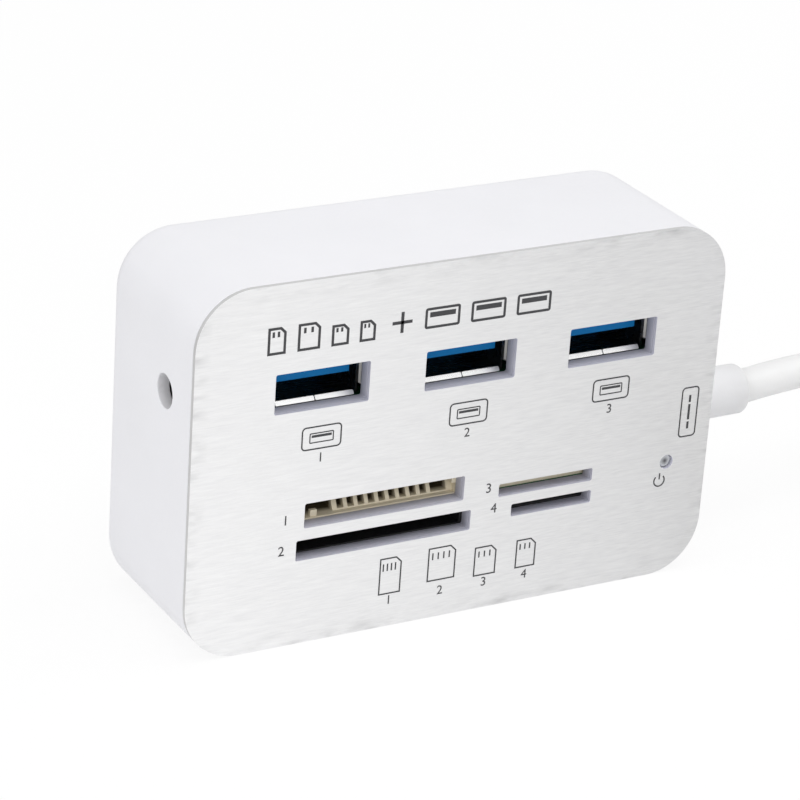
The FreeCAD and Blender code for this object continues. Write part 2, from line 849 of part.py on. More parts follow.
# USB ports
def make_usb_shell(number):
    centre = usb_centre(number)
    mouth_x = around(centre, "usb_mouth_width")
    mouth_z = around(USB_Z, "usb_mouth_height")
    outer_x = around(centre, "usb_mouth_width + 2 * usb_sheet")
    outer_z = around(USB_Z, "usb_mouth_height + 2 * usb_sheet")
    lip_y = (SOCKET_FRONT, f"{SOCKET_FRONT} + usb_lip_length")
    tube_y = (lip_y[1], f"{SOCKET_FRONT} + usb_length")

    def along_depth(edge):
        return runs_along(edge, "y")

    outer = block(f"usb_{number}_outer", outer_x, tube_y, outer_z)
    outside = rounded(f"usb_{number}_outside", outer, "usb_bend", along_depth)
    tube = cut(f"usb_{number}_tube", outside, [block(f"usb_{number}_inner", mouth_x, tube_y, mouth_z)])

    lip_x = around(centre, "usb_lip_width")
    side_z = around(USB_Z, "usb_side_lip_height")
    lips = []
    for label, sign, back in (
        ("low", "-", (outer_z[0], mouth_z[0])),
        ("high", "+", (mouth_z[1], outer_z[1])),
    ):
        front = tuple(f"{face} {sign} usb_lip_flare" for face in back)
        lips.append(slanted(f"usb_{number}_lip_{label}", lip_y, lip_x, lip_x, front, back))
    for label, sign, back in (
        ("left", "-", (outer_x[0], mouth_x[0])),
        ("right", "+", (mouth_x[1], outer_x[1])),
    ):
        front = tuple(f"{face} {sign} usb_lip_flare" for face in back)
        lips.append(slanted(f"usb_{number}_lip_{label}", lip_y, front, back, side_z, side_z))

    legs = [
        block(f"usb_{number}_leg_{label}", (low, high), LEG_Y, (f"{HUB_BOTTOM} - usb_leg_reach", USB_Z))
        for label, low, high in leg_sides(number)
    ]
    folded = join(f"usb_{number}_folded", [tube, *lips, *legs])
    seam = block(
        f"usb_{number}_seam",
        around(centre, "usb_seam"),
        (lip_y[0], tube_y[1]),
        (f"{outer_z[0]} - usb_lip_flare", f"{mouth_z[0]} + usb_seam"),
    )
    cut(f"usb_shell_{number}", folded, [seam])


def bent_contact(name, x, y_front, y_back, z, thickness, foot):
    """Strip that runs back, turns to a board's face and ends in a foot on it."""
    low, high = z
    board_face, towards = foot
    tail_y = (y_back, f"{y_back} + {thickness}")
    foot_y = (y_back, f"{y_back} + {thickness} + contact_foot_length")
    if towards == "down":
        tail_z = (board_face, high)
        foot_z = (board_face, f"{board_face} + {thickness}")
    else:
        tail_z = (low, board_face)
        foot_z = (f"{board_face} - {thickness}", board_face)
    strip = block(f"{name}_strip", x, (y_front, tail_y[1]), z)
    tail = block(f"{name}_tail", x, tail_y, tail_z)
    end = block(f"{name}_foot", x, foot_y, foot_z)
    return join(name, [strip, tail, end])


def make_usb_insulator(number):
    """Tongue, its base and the nine contacts that run through them."""
    centre = usb_centre(number)
    tongue_front = f"({SOCKET_FRONT} + usb_tongue_setback)"
    base_back = f"({SOCKET_FRONT} + usb_length)"
    base_front = f"({base_back} - usb_base_length)"
    foot_back = f"({base_back} + usb_foot_length)"
    tongue_z = (USB_Z, f"{USB_Z} + usb_tongue_thickness")
    blade_z = (f"{USB_Z} - usb_contact_thickness", USB_Z)
    base_x = around(centre, "usb_mouth_width - 2 * usb_base_gap")
    base_z = around(USB_Z, "usb_mouth_height - 2 * usb_base_gap")

    places = [(f"{sign}usb_contact_{row}", "usb_contact_width", "usb_contact_setback")
              for sign in "-+" for row in ("inner", "outer")]
    places += [(f"{step} * usb_fast_contact_pitch", "usb_fast_contact_width", "usb_fast_contact_setback")
               for step in (-2, -1, 0, 1, 2)]
    contacts = []
    for index, (shift, width, setback) in enumerate(places):
        contacts.append(
            bent_contact(
                f"usb_{number}_contact_{index}",
                around(f"{centre} + ({shift})", width),
                f"{tongue_front} + {setback}",
                foot_back,
                blade_z,
                "usb_contact_thickness",
                (HUB_TOP, "down"),
            )
        )
    contact_group = group(f"usb_contacts_{number}", contacts)

    tongue = block(
        f"usb_{number}_plate", around(centre, "usb_tongue_width"), (tongue_front, base_front), tongue_z
    )
    base = block(f"usb_{number}_base", base_x, (base_front, base_back), base_z)
    foot = block(f"usb_{number}_stand", base_x, (base_back, foot_back), (HUB_TOP, base_z[1]))
    solid = join(f"usb_{number}_insulator", [tongue, base, foot])
    cut(f"usb_tongue_{number}", solid, [contact_group])


# Power inlet
def make_jack():
    mouth = f"(-{INNER_SIDE} + jack_gap)"
    back = JACK_END
    body = block(
        "jack_block",
        (mouth, back),
        around(JACK_Y, "jack_width"),
        (HUB_TOP, f"{HUB_TOP} + jack_height"),
    )
    bore = rod("jack_bore_space", "x", (mouth, JACK_Y, JACK_Z), "jack_bore_depth", "jack_bore")
    pin = rod(
        "dc_jack_pin",
        "x",
        (f"{mouth} + jack_pin_setback", JACK_Y, JACK_Z),
        "jack_length - jack_pin_setback",
        "jack_pin_diameter",
    )
    floor = f"({JACK_Z} - jack_bore / 2)"
    spring = block(
        "dc_jack_spring",
        (f"{mouth} + jack_spring_setback", back),
        around(JACK_Y, "jack_spring_width"),
        (floor, f"{floor} + jack_spring_thickness"),
    )
    cut("dc_jack_body", body, [bore, pin, spring])


# Card slots
def make_slot_contacts(slot):
    """Row of strips that lie in the slot's face on the board's side."""
    count = CONTACTS_IN[slot]
    drop = f"({slot}_slot_low - {slot}_contact_drop)"
    strip_z = from_board(slot, f"({drop} - slot_contact_thickness)", drop)
    face = ("reader_board_top", "down") if ABOVE_BOARD[slot] else (READER_BOTTOM, "up")
    strips = [
        bent_contact(
            f"{slot}_contact_{index}",
            around(
                f"{slot}_x + {slot}_contact_shift + ({index} - ({count} - 1) / 2) * {slot}_contact_pitch",
                f"{slot}_contact_width",
            ),
            f"{slot_front(slot)} + {slot}_contact_setback",
            f"({slot_front(slot)} + {slot}_socket_depth)",
            strip_z,
            "slot_contact_thickness",
            face,
        )
        for index in range(count)
    ]
    return group(f"{slot}_contacts", strips)


def make_slot_cover(slot):
    """Steel sheet over the socket, away from the board, with a skirt down each side."""
    outer_x = around(f"{slot}_x", f"{slot}_socket_width + 2 * cover_sheet")
    front = slot_front(slot)
    depth = (f"{front} + cover_setback", f"{front} + {slot}_socket_depth - cover_setback")
    height = f"{slot}_socket_height"
    sheet_z = from_board(slot, height, f"({height} + cover_sheet)")
    skirt_z = from_board(slot, f"({height} - cover_skirt)", f"({height} + cover_sheet)")
    top = block(f"{slot}_cover_top", outer_x, depth, sheet_z)
    left = block(f"{slot}_cover_left", (outer_x[0], f"{outer_x[0]} + cover_sheet"), depth, skirt_z)
    right = block(f"{slot}_cover_right", (f"{outer_x[1]} - cover_sheet", outer_x[1]), depth, skirt_z)
    join(f"{slot}_cover", [top, left, right])


def stick_comb_spaces():
    """What is taken out of the stick socket's front: the ledge, the comb's gaps and a pocket at each end."""
    front = slot_front("stick")
    window_x = around("stick_x", "stick_window_width")
    ledge_z = from_board("stick", "stick_ledge", "stick_slot_low")
    notch_z = from_board("stick", "stick_notch_floor", "stick_slot_low")
    spaces = [
        ramped(
            "stick_ramp_space",
            window_x,
            ledge_z,
            front,
            f"({front} + stick_ramp_foot)",
            f"({front} + stick_ramp_top)",
        )
    ]
    count = STICK_CONTACT_COUNT
    depth = (front, f"{front} + stick_notch_depth")
    for index in range(count):
        centre = f"stick_x + stick_contact_shift + ({index} - ({count} - 1) / 2) * stick_contact_pitch"
        notch_x = around(centre, "stick_notch_width")
        if index == count - 1:
            notch_x = (notch_x[0], f"{notch_x[0]} + stick_end_pocket")
        spaces.append(block(f"stick_notch_{index}", notch_x, depth, notch_z))
    pocket_x = (window_x[0], f"{window_x[0]} + stick_side_pocket")
    pocket_y = (f"{front} + stick_ramp_foot", f"{front} + stick_notch_depth")
    spaces.append(block("stick_side_space", pocket_x, pocket_y, ledge_z))
    return spaces


def make_card_socket(slot):
    front = slot_front(slot)
    contacts = make_slot_contacts(slot)
    make_slot_cover(slot)
    plain = block(
        f"{slot}_block",
        around(f"{slot}_x", f"{slot}_socket_width"),
        (front, f"{front} + {slot}_socket_depth"),
        from_board(slot, "0", f"{slot}_socket_height"),
    )
    opening = block(
        f"{slot}_opening",
        around(f"{slot}_x", f"{slot}_slot_width"),
        (front, f"{front} + {slot}_slot_depth"),
        from_board(slot, f"{slot}_slot_low", f"({slot}_slot_low + {slot}_slot_height)"),
    )
    if slot != "stick":
        cut(f"{slot}_socket", plain, [opening, contacts])
        return
    hollow = cut("stick_hollow", plain, [opening, *stick_comb_spaces()])
    left = around("stick_x", "stick_window_width")[0]
    key = block(
        "stick_key",
        (f"{left} + stick_block_inset", f"{left} + stick_block_inset + stick_block_width"),
        (f"{front} + stick_ramp_foot - stick_block_depth", f"{front} + stick_ramp_foot"),
        from_board("stick", "stick_ledge", "(stick_ledge + stick_block_height)"),
    )
    cut("stick_socket", join("stick_keyed", [hollow, key]), [contacts])


# Status light
def make_light():
    pipe_front = f"({FRONT} + light_pipe_recess)"
    face = size("light_pipe_recess") - size("case_depth") / 2
    pin = rod(
        "light_pin",
        "y",
        (LIGHT_X, pipe_front, LIGHT_Z),
        f"{FRAME_BACK} - {pipe_front}",
        "light_hole - light_pipe_gap",
    )
    dome = rounded("light_dome", pin, "light_pipe_round", lambda edge: lies_at(edge, "y", face))
    flange_start = (LIGHT_X, FRAME_BACK, LIGHT_Z)
    flange = rod("light_flange", "y", flange_start, "board_gap - led_gap", "light_flange_diameter")
    join("light_pipe", [dome, flange])
    led_front = f"({FRAME_BACK} + board_gap)"
    block(
        "power_led",
        around(LIGHT_X, "led_width"),
        (led_front, f"{led_front} + led_depth"),
        ("reader_board_top", "reader_board_top + led_height"),
    )


# Cable
def make_collar():
    """Moulded collar: a tapered boss outside, a neck in the wall and a flange inside."""
    face = "(case_width / 2)"
    end = size("case_width") / 2 + size("collar_length")
    boss_start = (face, "cable_y", "cable_z")
    boss = cone_along_x("collar_boss", boss_start, "collar_length", "collar_diameter", "collar_end_diameter")
    soft_end = rounded("collar_soft_end", boss, "collar_round", lambda edge: lies_at(edge, "x", end))
    neck = rod("collar_shank", "x", (INNER_SIDE, "cable_y", "cable_z"), "side_wall", "collar_neck")
    flange = block(
        "collar_flange",
        (f"{INNER_SIDE} - collar_flange_thickness", INNER_SIDE),
        around("cable_y", "collar_flange_width"),
        around("cable_z", "collar_flange_height"),
    )
    join("strain_relief", [soft_end, neck, flange])


def tube_along(points, bends, diameter):
    """Tube of one diameter along straight runs joined by tangent arcs, and its path's length."""
    edges = []
    start = points[0]
    for index in range(1, len(points) - 1):
        corner = points[index]
        back = (points[index - 1] - corner).normalize()
        ahead = (points[index + 1] - corner).normalize()
        turn = math.pi - back.getAngle(ahead)
        reach = bends[index - 1] * math.tan(turn / 2)
        first, last = corner + back * reach, corner + ahead * reach
        inward = (back + ahead).normalize()
        middle = corner + inward * (bends[index - 1] / math.cos(turn / 2) - bends[index - 1])
        edges.append(Part.LineSegment(start, first).toShape())
        edges.append(Part.Arc(first, middle, last).toShape())
        start = last
    edges.append(Part.LineSegment(start, points[-1]).toShape())
    path = Part.Wire(edges)
    section = Part.Wire(Part.Circle(points[0], points[1] - points[0], diameter / 2).toShape())
    return path.makePipeShell([section], True, True), path.Length


def compare_tube(name, solid, length, diameter):
    expected = math.pi * diameter**2 / 4 * length
    print(f"{name}: length {length:.2f}, volume over section times length {solid.Volume / expected:.5f}")


def make_cable():
    diameter = size("cable_diameter")
    points = [FreeCAD.Vector(*place) for place in CABLE_ROUTE]
    bends = []
    for before, corner, after in zip(points, points[1:], points[2:]):
        turn = math.pi - (before - corner).getAngle(after - corner)
        run = min((corner - before).Length, (after - corner).Length)
        bends.append(BEND_SHARE * run / math.tan(turn / 2))
    print("cable bend radii:", [round(bend, 1) for bend in bends])
    solid, length = tube_along(points, bends, diameter)
    compare_tube("cable", solid, length, diameter)
    lead = doc.addObject("Part::Feature", "cable_lead")
    lead.Shape = solid
    coil_width = "2 * coil_radius + cable_diameter"
    coil_start = ("coil_x", "coil_y", "0")
    tall = "2 * coil_turns_high * cable_diameter"
    lead_end = rod("lead_end", "z", coil_start, tall, coil_width)
    cut("cable", lead, [doc.getObject("strain_relief"), lead_end])

    plug_neck = ("plug_x", PLUG_Y, PLUG_Z)
    tail = rod("tail_run", "x", plug_neck, "(coil_x - plug_x) / 2", "cable_diameter")
    cut("cable_tail", tail, [rod("tail_end", "z", coil_start, tall, coil_width)])


def make_coil():
    """Ring of the coil's outer shape and the strap round it."""
    high = "(coil_turns_high * cable_diameter)"
    outer = rod("coil_outer", "z", ("coil_x", "coil_y", "0"), high, "2 * coil_radius + cable_diameter")
    inner = rod("coil_inner", "z", ("coil_x", "coil_y", "0"), high, "2 * coil_radius - cable_diameter")
    ring = cut("coil_ring", outer, [inner])
    soft_ring = rounded(
        "coil_soft_ring", ring, "coil_round", lambda edge: edge.Curve.TypeId == "Part::GeomCircle"
    )
    side = "(coil_x + coil_radius)"
    tie_y = around("coil_y", "tie_width")
    outside = block(
        "tie_outside",
        around(side, "cable_diameter + 2 * tie_thickness"),
        tie_y,
        ("0", f"{high} + tie_thickness"),
    )
    inside = block("tie_inside", around(side, "cable_diameter"), tie_y, ("tie_thickness", high))
    tie = cut("cable_tie", outside, [inside])
    cut("cable_coil", soft_ring, [tie])


def make_cores():
    """Wires from the collar's flange up to the underside of the hub board."""
    diameter = size("core_diameter")
    bend = size("core_bend")
    start = size("case_width") / 2 - size("side_wall") - size("collar_flange_thickness")
    corner = start - size("core_run") - bend
    top = size("case_height") - size("hub_board_drop") - size("hub_board_thickness")
    cores = []
    for index in range(CORE_COUNT):
        across = size("cable_y") + (index - (CORE_COUNT - 1) / 2) * size("core_pitch")
        points = [
            FreeCAD.Vector(start, across, size("cable_z")),
            FreeCAD.Vector(corner, across, size("cable_z")),
            FreeCAD.Vector(corner, across, top),
        ]
        solid, length = tube_along(points, [bend], diameter)
        compare_tube(f"core {index}", solid, length, diameter)
        core = doc.addObject("Part::Feature", f"core_{index}")
        core.Shape = solid
        cores.append(core)
    group("cable_cores", cores)


# Plug, lying beside the coil with its mouth towards the hub
def make_plug():
    body_back = "(plug_x - plug_neck_length)"
    body_front = f"({body_back} - plug_body_length)"
    tip = f"({body_front} - plug_shell_length)"
    shell_root = f"({body_front} + plug_shell_root)"
    shell_y = around(PLUG_Y, "plug_shell_width")
    shell_z = around(PLUG_Z, "plug_shell_height")
    inner_y = around(PLUG_Y, "plug_shell_width - 2 * plug_sheet")
    inner_z = around(PLUG_Z, "plug_shell_height - 2 * plug_sheet")

    outer = block("plug_outer", (tip, shell_root), shell_y, shell_z)
    mouth = block("plug_mouth", (tip, shell_root), inner_y, inner_z)
    cut("plug_shell", outer, [mouth])

    tongue_top = f"({inner_z[0]} + plug_tongue_height)"
    contact_tip = f"({tip} + plug_contact_setback)"
    contacts = []
    for sign in "-+":
        for row in ("inner", "outer"):
            contacts.append(
                block(
                    f"plug_contact_{row}_{'left' if sign == '-' else 'right'}",
                    (contact_tip, f"{contact_tip} + plug_contact_length"),
                    around(f"{PLUG_Y} {sign} plug_contact_{row}", "plug_contact_width"),
                    (f"{tongue_top} - plug_contact_thickness", tongue_top),
                )
            )
    contact_group = group("plug_contacts", contacts)
    slab_x = (f"{tip} + plug_tongue_setback", shell_root)
    slab = block("plug_slab", slab_x, inner_y, (inner_z[0], tongue_top))
    cut("plug_tongue", slab, [contact_group])

    plain = block(
        "plug_plain", (body_front, body_back), around(PLUG_Y, "plug_body_width"), ("0", "plug_body_height")
    )
    soft = rounded("plug_soft", plain, "plug_body_round", lambda edge: runs_along(edge, "x"))
    neck_start = (body_back, PLUG_Y, PLUG_Z)
    neck = cone_along_x("plug_neck", neck_start, "plug_neck_length", "plug_neck_front", "plug_neck_back")
    seat = block("plug_seat", (body_front, shell_root), shell_y, shell_z)
    cut("plug_overmould", join("plug_moulding", [soft, neck]), [seat])


make_front()
make_frame_screws()
make_rear_shell()
make_posts()
make_rails()
make_boards()
make_board_parts()
make_link()
for number in range(1, USB_COUNT + 1):
    make_usb_shell(number)
    make_usb_insulator(number)
make_jack()
for slot in ABOVE_BOARD:
    make_card_socket(slot)
make_light()
make_collar()
make_cable()
make_coil()
make_cores()
make_plug()
doc.recompute()

NODES = [
    "front_panel",
    "panel_tape",
    "front_frame",
    "frame_screws",
    "rear_shell",
    "shell_posts",
    "board_rails",
    "hub_board",
    "hub_chip",
    "hub_crystal",
    "bulk_capacitors",
    "capacitor_bases",
    "ceramic_capacitors",
    "reader_board",
    "reader_chip",
    "link_header",
    "link_pins",
    *(
        f"usb_{piece}_{number}"
        for number in range(1, USB_COUNT + 1)
        for piece in ("shell", "tongue", "contacts")
    ),
    "dc_jack_body",
    "dc_jack_pin",
    "dc_jack_spring",
    *(f"{slot}_{piece}" for slot in ABOVE_BOARD for piece in ("socket", "contacts", "cover")),
    "light_pipe",
    "power_led",
    "strain_relief",
    "cable_cores",
    "cable",
    "cable_coil",
    "cable_tail",
    "cable_tie",
    "plug_overmould",
    "plug_shell",
    "plug_tongue",
    "plug_contacts",
]

failed = [item.Name for item in doc.Objects if {"Invalid", "Error"} & set(item.State)]
if failed:
    raise RuntimeError(f"objects that failed to rebuild: {failed}")
for name in NODES:
    shape = doc.getObject(name).Shape
    if shape.isNull() or not shape.isValid() or not shape.Solids:
        raise RuntimeError(f"no valid solid in {name}")

os.makedirs("parts", exist_ok=True)
for name in NODES:
    doc.getObject(name).Shape.exportStep(f"parts/{name}.step")
print(len(NODES), "pieces written")
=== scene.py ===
"""Looks of a white USB hub and card reader with a brushed aluminium front, built round its CAD frame."""

import math

import bpy
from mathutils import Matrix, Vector


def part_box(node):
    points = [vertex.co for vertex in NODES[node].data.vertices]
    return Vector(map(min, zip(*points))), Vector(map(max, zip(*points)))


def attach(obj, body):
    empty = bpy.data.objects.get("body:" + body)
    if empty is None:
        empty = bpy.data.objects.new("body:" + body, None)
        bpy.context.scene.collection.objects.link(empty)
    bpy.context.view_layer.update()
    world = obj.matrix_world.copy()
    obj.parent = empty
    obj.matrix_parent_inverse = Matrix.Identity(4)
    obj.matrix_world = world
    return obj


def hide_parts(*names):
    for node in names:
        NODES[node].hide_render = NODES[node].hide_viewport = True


bl_info = {
    "name": "Card reader hub",
    "version": (1, 0, 0),
    "blender": (4, 5, 0),
    "location": "3D View > Sidebar > Hub",
    "description": "Dresses the CAD frame of a USB hub and card reader",
    "category": "Object",
}

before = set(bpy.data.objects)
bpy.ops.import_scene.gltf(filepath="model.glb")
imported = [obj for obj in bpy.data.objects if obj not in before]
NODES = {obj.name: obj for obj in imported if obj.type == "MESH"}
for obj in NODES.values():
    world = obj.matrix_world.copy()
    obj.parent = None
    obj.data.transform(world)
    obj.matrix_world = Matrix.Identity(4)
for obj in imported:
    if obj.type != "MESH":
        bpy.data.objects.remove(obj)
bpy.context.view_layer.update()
BODY = "root"
FINISH_PREFIX = "hub_"

# Turns of what is made level: faced to the front, which lays a rod along Y, and left as it is
TO_FRONT = (math.pi / 2, 0.0, 0.0)
LEVEL = (0.0, 0.0, 0.0)

# Distance within which points are merged, and angle within which faces count as flat
MERGE_DISTANCE = 1e-6
FLAT_ANGLE = math.radians(0.05)

PANEL_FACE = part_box("front_panel")[0].y
SLOTS = ("stick", "card", "micro_stick", "micro_card")
PORTS = (1, 2, 3)

# Bent lips behind the frame and clear of a plug's path: depth and height of the lower one's centre and
# its distance to the right of the port's middle, the side ones' depth, height and distance from the
# middle, and how far all lean back
LIP_PLACE = (-0.00996, 0.03248)
LIP_SHIFT = 0.0004
SIDE_LIP_PLACE = (-0.01020, 0.03512)
SIDE_LIP_REACH = 0.00651
LIP_TILT = math.radians(50.0)
LIP_SHEET = 0.0001
LIP_CORNER = 0.00013
SIDE_LIP_CORNER = 0.00006

# Fine grain of plastics: grains in each metre, their depth, and how far the gloss varies
PLASTIC_GRAIN = 2600.0
SHEATH_GRAIN = 1800.0
GRAIN_DEPTH = 0.000012
GLOSS_RANGE = 0.06
# Depth to which light goes into soft plastic
LIGHT_DEPTH = 0.006
# Depths behind the comb's front between which painted shade darkens its plastic
GAP_SHADE_DEPTHS = (0.0010, 0.0021)

# Way along which the floor's painted light in reflections brightens and fades, its strengths there, and
# where these lie
FADE_WAY = (1.0, 0.61, 0.0)
FLOOR_RISE = (0.66, 1.10, -0.110, -0.055)
FLOOR_FADE = (1.10, 0.62, -0.053, 0.037)

# Lights: name, place, aim, side in metres and power in watts
LIGHTS = (
    ("left_light", (-1.1, 0.1, 0.7), (0.0, 0.0, 0.02), 0.9, 3.5),
    ("front_light", (-0.35, -1.1, 0.35), (0.0, 0.0, 0.02), 0.5, 2.2),
    ("top_light", (0.0, -0.3, 1.2), (0.0, 0.0, 0.02), 1.0, 5.8),
    ("right_light", (0.9, -0.1, 0.6), (0.06, 0.0, 0.02), 0.6, 2.0),
)

# Camera solved from the casing's edges: place in metres and turn in degrees
CAMERA_PLACE = (-0.20250, -0.34442, 0.19949)
CAMERA_TURN = (66.335, -3.597, -28.632)

# Routes of the cable from inside its collar to the coil and from the coil to the plug, its thickness
# and the coil between, all in metres
CABLE_LEAD = (
    (0.0500, -0.0002, 0.0188),
    (0.0620, 0.0024, 0.0188),
    (0.0732, 0.0051, 0.0169),
    (0.0846, 0.0076, 0.0134),
    (0.0964, 0.0090, 0.0120),
)
CABLE_TAIL = (
    (0.1010, -0.0386, 0.0027),
    (0.0950, -0.0386, 0.0036),
    (0.0895, -0.0386, 0.0040),
)
CABLE_DIAMETER = 0.0048
COIL_CENTRE = (0.1070, -0.0146)
COIL_RADIUS = 0.0240
COIL_TURNS = 2.5
COIL_TOP = 0.0120
POINTS_PER_TURN = 24

# Ridges across the plug's moulding: the first one's distance from its left end, and the share of
# their radius by which the upper ones' axes lie below its upper face
RIDGE_COUNT = 5
RIDGE_START = 0.0090
RIDGE_PITCH = 0.0018
RIDGE_SINK = 0.4
# Latch windows of the plug's shell, black sheets standing for the painted shade in their holes: size,
# place from its left end and middle, corners and thickness
PLUG_WINDOW = (0.0023, 0.0020)
PLUG_WINDOW_PLACE = (0.0060, 0.0029)
PLUG_WINDOW_CORNER = 0.0002
PLUG_WINDOW_SHEET = 0.00004

# Marks on the panel: places along X and Z, sizes, cut corners and the share of a line in fine parts.
# A headline card has its place along X, width and height, a card its place, width, height and bars.
THINNER = 0.8
NUMBER_HEIGHT = 0.0018
BOX_CORNER = 0.0006
HEADLINE_UP = 0.0422
HEADLINE_TALL = 0.0036
HEADLINE_CARDS = (
    (-0.0271, 0.0025, 0.0036),
    (-0.0227, 0.0031, 0.0036),
    (-0.0184, 0.0024, 0.0028),
    (-0.0146, 0.0022, 0.0028),
)
HEADLINE_CUT = 0.0007
HEADLINE_BARS = 2
PLUS_ACROSS = -0.0098
PLUS_SIZE = 0.0028
HEADLINE_PORTS = (-0.0041, 0.0025, 0.0091)
HEADLINE_PORT_SIZE = (0.0050, 0.0028)
SIGNS = (-0.0202, 0.0007, 0.0219)
SIGN_UP = 0.0284
SIGN_SIZE = (0.0056, 0.0032)
SIGN_PORT_SIZE = (0.0034, 0.0014)
SIGN_NUMBER_UP = 0.0256
SLOT_NUMBERS = ((-0.0246, 0.0176), (-0.0250, 0.0134), (0.0046, 0.0171), (0.0056, 0.0141))
SLOT_NUMBER_HEIGHT = 0.0019
CARDS = (
    ((-0.0091, 0.0072), 0.0032, 0.0052, 4),
    ((-0.0016, 0.0076), 0.0041, 0.0048, 4),
    ((0.0049, 0.0068), 0.0033, 0.0042, 3),
    ((0.0110, 0.0068), 0.0030, 0.0041, 3),
)
CARD_CUT = 0.0008
CARD_NUMBER_UP = 0.0037
POWER_BOX_PLACE = (0.0345, 0.0232)
POWER_BOX_SIZE = (0.0027, 0.0072)
POWER_BARS = ((0.0251, 0.0010), (0.0232, 0.0022), (0.0213, 0.0010))
POWER_BAR_LINES = 1.7
POWER_SIGN_PLACE = (0.0309, 0.0138)
POWER_SIGN_RADIUS = 0.0009


def colour(name, description, default):
    """Colour that a user may change."""
    return bpy.props.FloatVectorProperty(
        name=name, description=description, subtype="COLOR", size=3, min=0.0, max=1.0, default=default
    )


def length(name, description, default):
    """Length in metres that a user may change."""
    return bpy.props.FloatProperty(
        name=name, description=description, unit="LENGTH", min=0.0, precision=5, default=default
    )


def share(name, description, default):
    """Share between 0 and 1 that a user may change."""
    return bpy.props.FloatProperty(
        name=name, description=description, subtype="FACTOR", min=0.0, max=1.0, default=default
    )


class HubFinishes(bpy.types.PropertyGroup):
    """Colours of the hub's materials."""

    casing: colour("Casing", "White plastic of the casing and the plug", (0.81, 0.81, 0.84))
    panel: colour("Panel", "Brushed aluminium of the front", (0.95, 0.95, 0.96))
    # Painted shade: this grey stands in for the shade on the frame's walls in the windows, not for a
    # colour of their plastic.
    window: colour("Windows", "Greyer plastic of the frame in the windows", (0.52, 0.52, 0.59))
    cut_edge: colour("Cut edge", "Sheared outer edge of the panel", (0.62, 0.62, 0.62))
    ink: colour("Ink", "Print on the front", (0.03, 0.03, 0.033))
    port_plastic: colour("Port plastic", "Insulator in the USB ports", (0.002, 0.160, 0.430))
    steel: colour("Steel", "Covers and plug", (0.90, 0.89, 0.87))
    lip: colour("Lips", "Polished lower lips of the ports", (0.98, 0.98, 0.97))
    # Painted shade: the side lips are a darker copy of the lips' steel.
    side_lip: colour("Side lips", "Dull side lips of the ports", (0.52, 0.51, 0.48))
    # Painted shade: the port shells' steel is darkened for the shade inside the ports.
    port_steel: colour("Port steel", "Dull inside of the port shells", (0.20, 0.20, 0.20))
    contact: colour("Contacts", "Plated contacts and pins", (0.83, 0.62, 0.30))
    socket_pale: colour("Pale sockets", "Beige card sockets", (0.84, 0.76, 0.58))
    # Painted shade: the brown in the gaps of the pale sockets' combs.
    socket_gap: colour("Gaps of pale sockets", "Brown depth of their combs", (0.08, 0.06, 0.03))
    socket_dark: colour("Dark sockets", "Black card sockets, inlet and chips", (0.012, 0.012, 0.013))
    board: colour("Boards", "Solder resist of the boards", (0.012, 0.11, 0.045))
    sheath: colour("Cable", "Soft sheath of the cable", (0.76, 0.76, 0.76))
    collar: colour("Collar", "Soft plastic of the cable's collar", (0.71, 0.71, 0.72))
    strap: colour("Strap", "Strap round the coil", (0.03, 0.03, 0.032))


class HubDetails(bpy.types.PropertyGroup):
    """Small sizes of the hub's looks."""

    casing_edge: length("Casing edge", "Softness of the casing's sharp edges", 0.00018)
    panel_edge: length("Panel edge", "Softness of the panel's cut edges", 0.00006)
    ink_height: length("Ink height", "Thickness of the print on the panel", 0.00002)
    fine_line: length("Fine line", "Width of the small marks' lines", 0.00019)
    bold_line: length("Bold line", "Width of the headline's lines", 0.00042)
    lip_length: length("Lip length", "Length of the bent edge in each port's mouth", 0.0109)
    lip_height: length("Lip height", "Height of that edge along its slope", 0.00064)
    side_lip_length: length("Side lip length", "Height of the bent edges beside the mouth", 0.0028)
    side_lip_width: length("Side lip width", "Width of those edges along their slope", 0.00034)
    ridge_length: length("Ridge length", "Length of the ridges across the plug", 0.0100)
    ridge_radius: length("Ridge radius", "Radius of those ridges", 0.00040)
    lip_seam: length("Lip seam", "Gap between the lower lip's halves", 0.00012)


class HubStage(bpy.types.PropertyGroup):
    """Camera and light."""

    lens: bpy.props.FloatProperty(
        name="Lens", description="Focal length on a 36 mm sensor", unit="CAMERA", min=1.0, default=151.54
    )
    floor_side: length("Floor", "Side of the square floor", 6.0)
    floor_shade: share("Floor shade", "Share of real light in the floor that the camera sees", 0.12)
    ambient: share("Ambient", "Strength of the even light from all sides", 0.55)
    mirrored: share("Mirrored", "Strength of the surroundings in reflections", 0.92)


class HubSettings(bpy.types.PropertyGroup):
    """Everything that a user may change."""

    finishes: bpy.props.PointerProperty(type=HubFinishes)
    details: bpy.props.PointerProperty(type=HubDetails)
    stage: bpy.props.PointerProperty(type=HubStage)


def settings():
    """The scene's own values."""
    return bpy.context.scene.hub_settings


# Material helpers
def mix_socket(sockets, identifier):
    """Socket of a mixing node, whose names repeat."""
    return next(item for item in sockets if item.identifier == identifier)


def computed(tree, operation, first, second):
    """Number out of two others in a node tree."""
    step = tree.nodes.new("ShaderNodeMath")
    step.operation = operation
    tree.links.new(first, step.inputs[0])
    tree.links.new(second, step.inputs[1])
    return step.outputs["Value"]


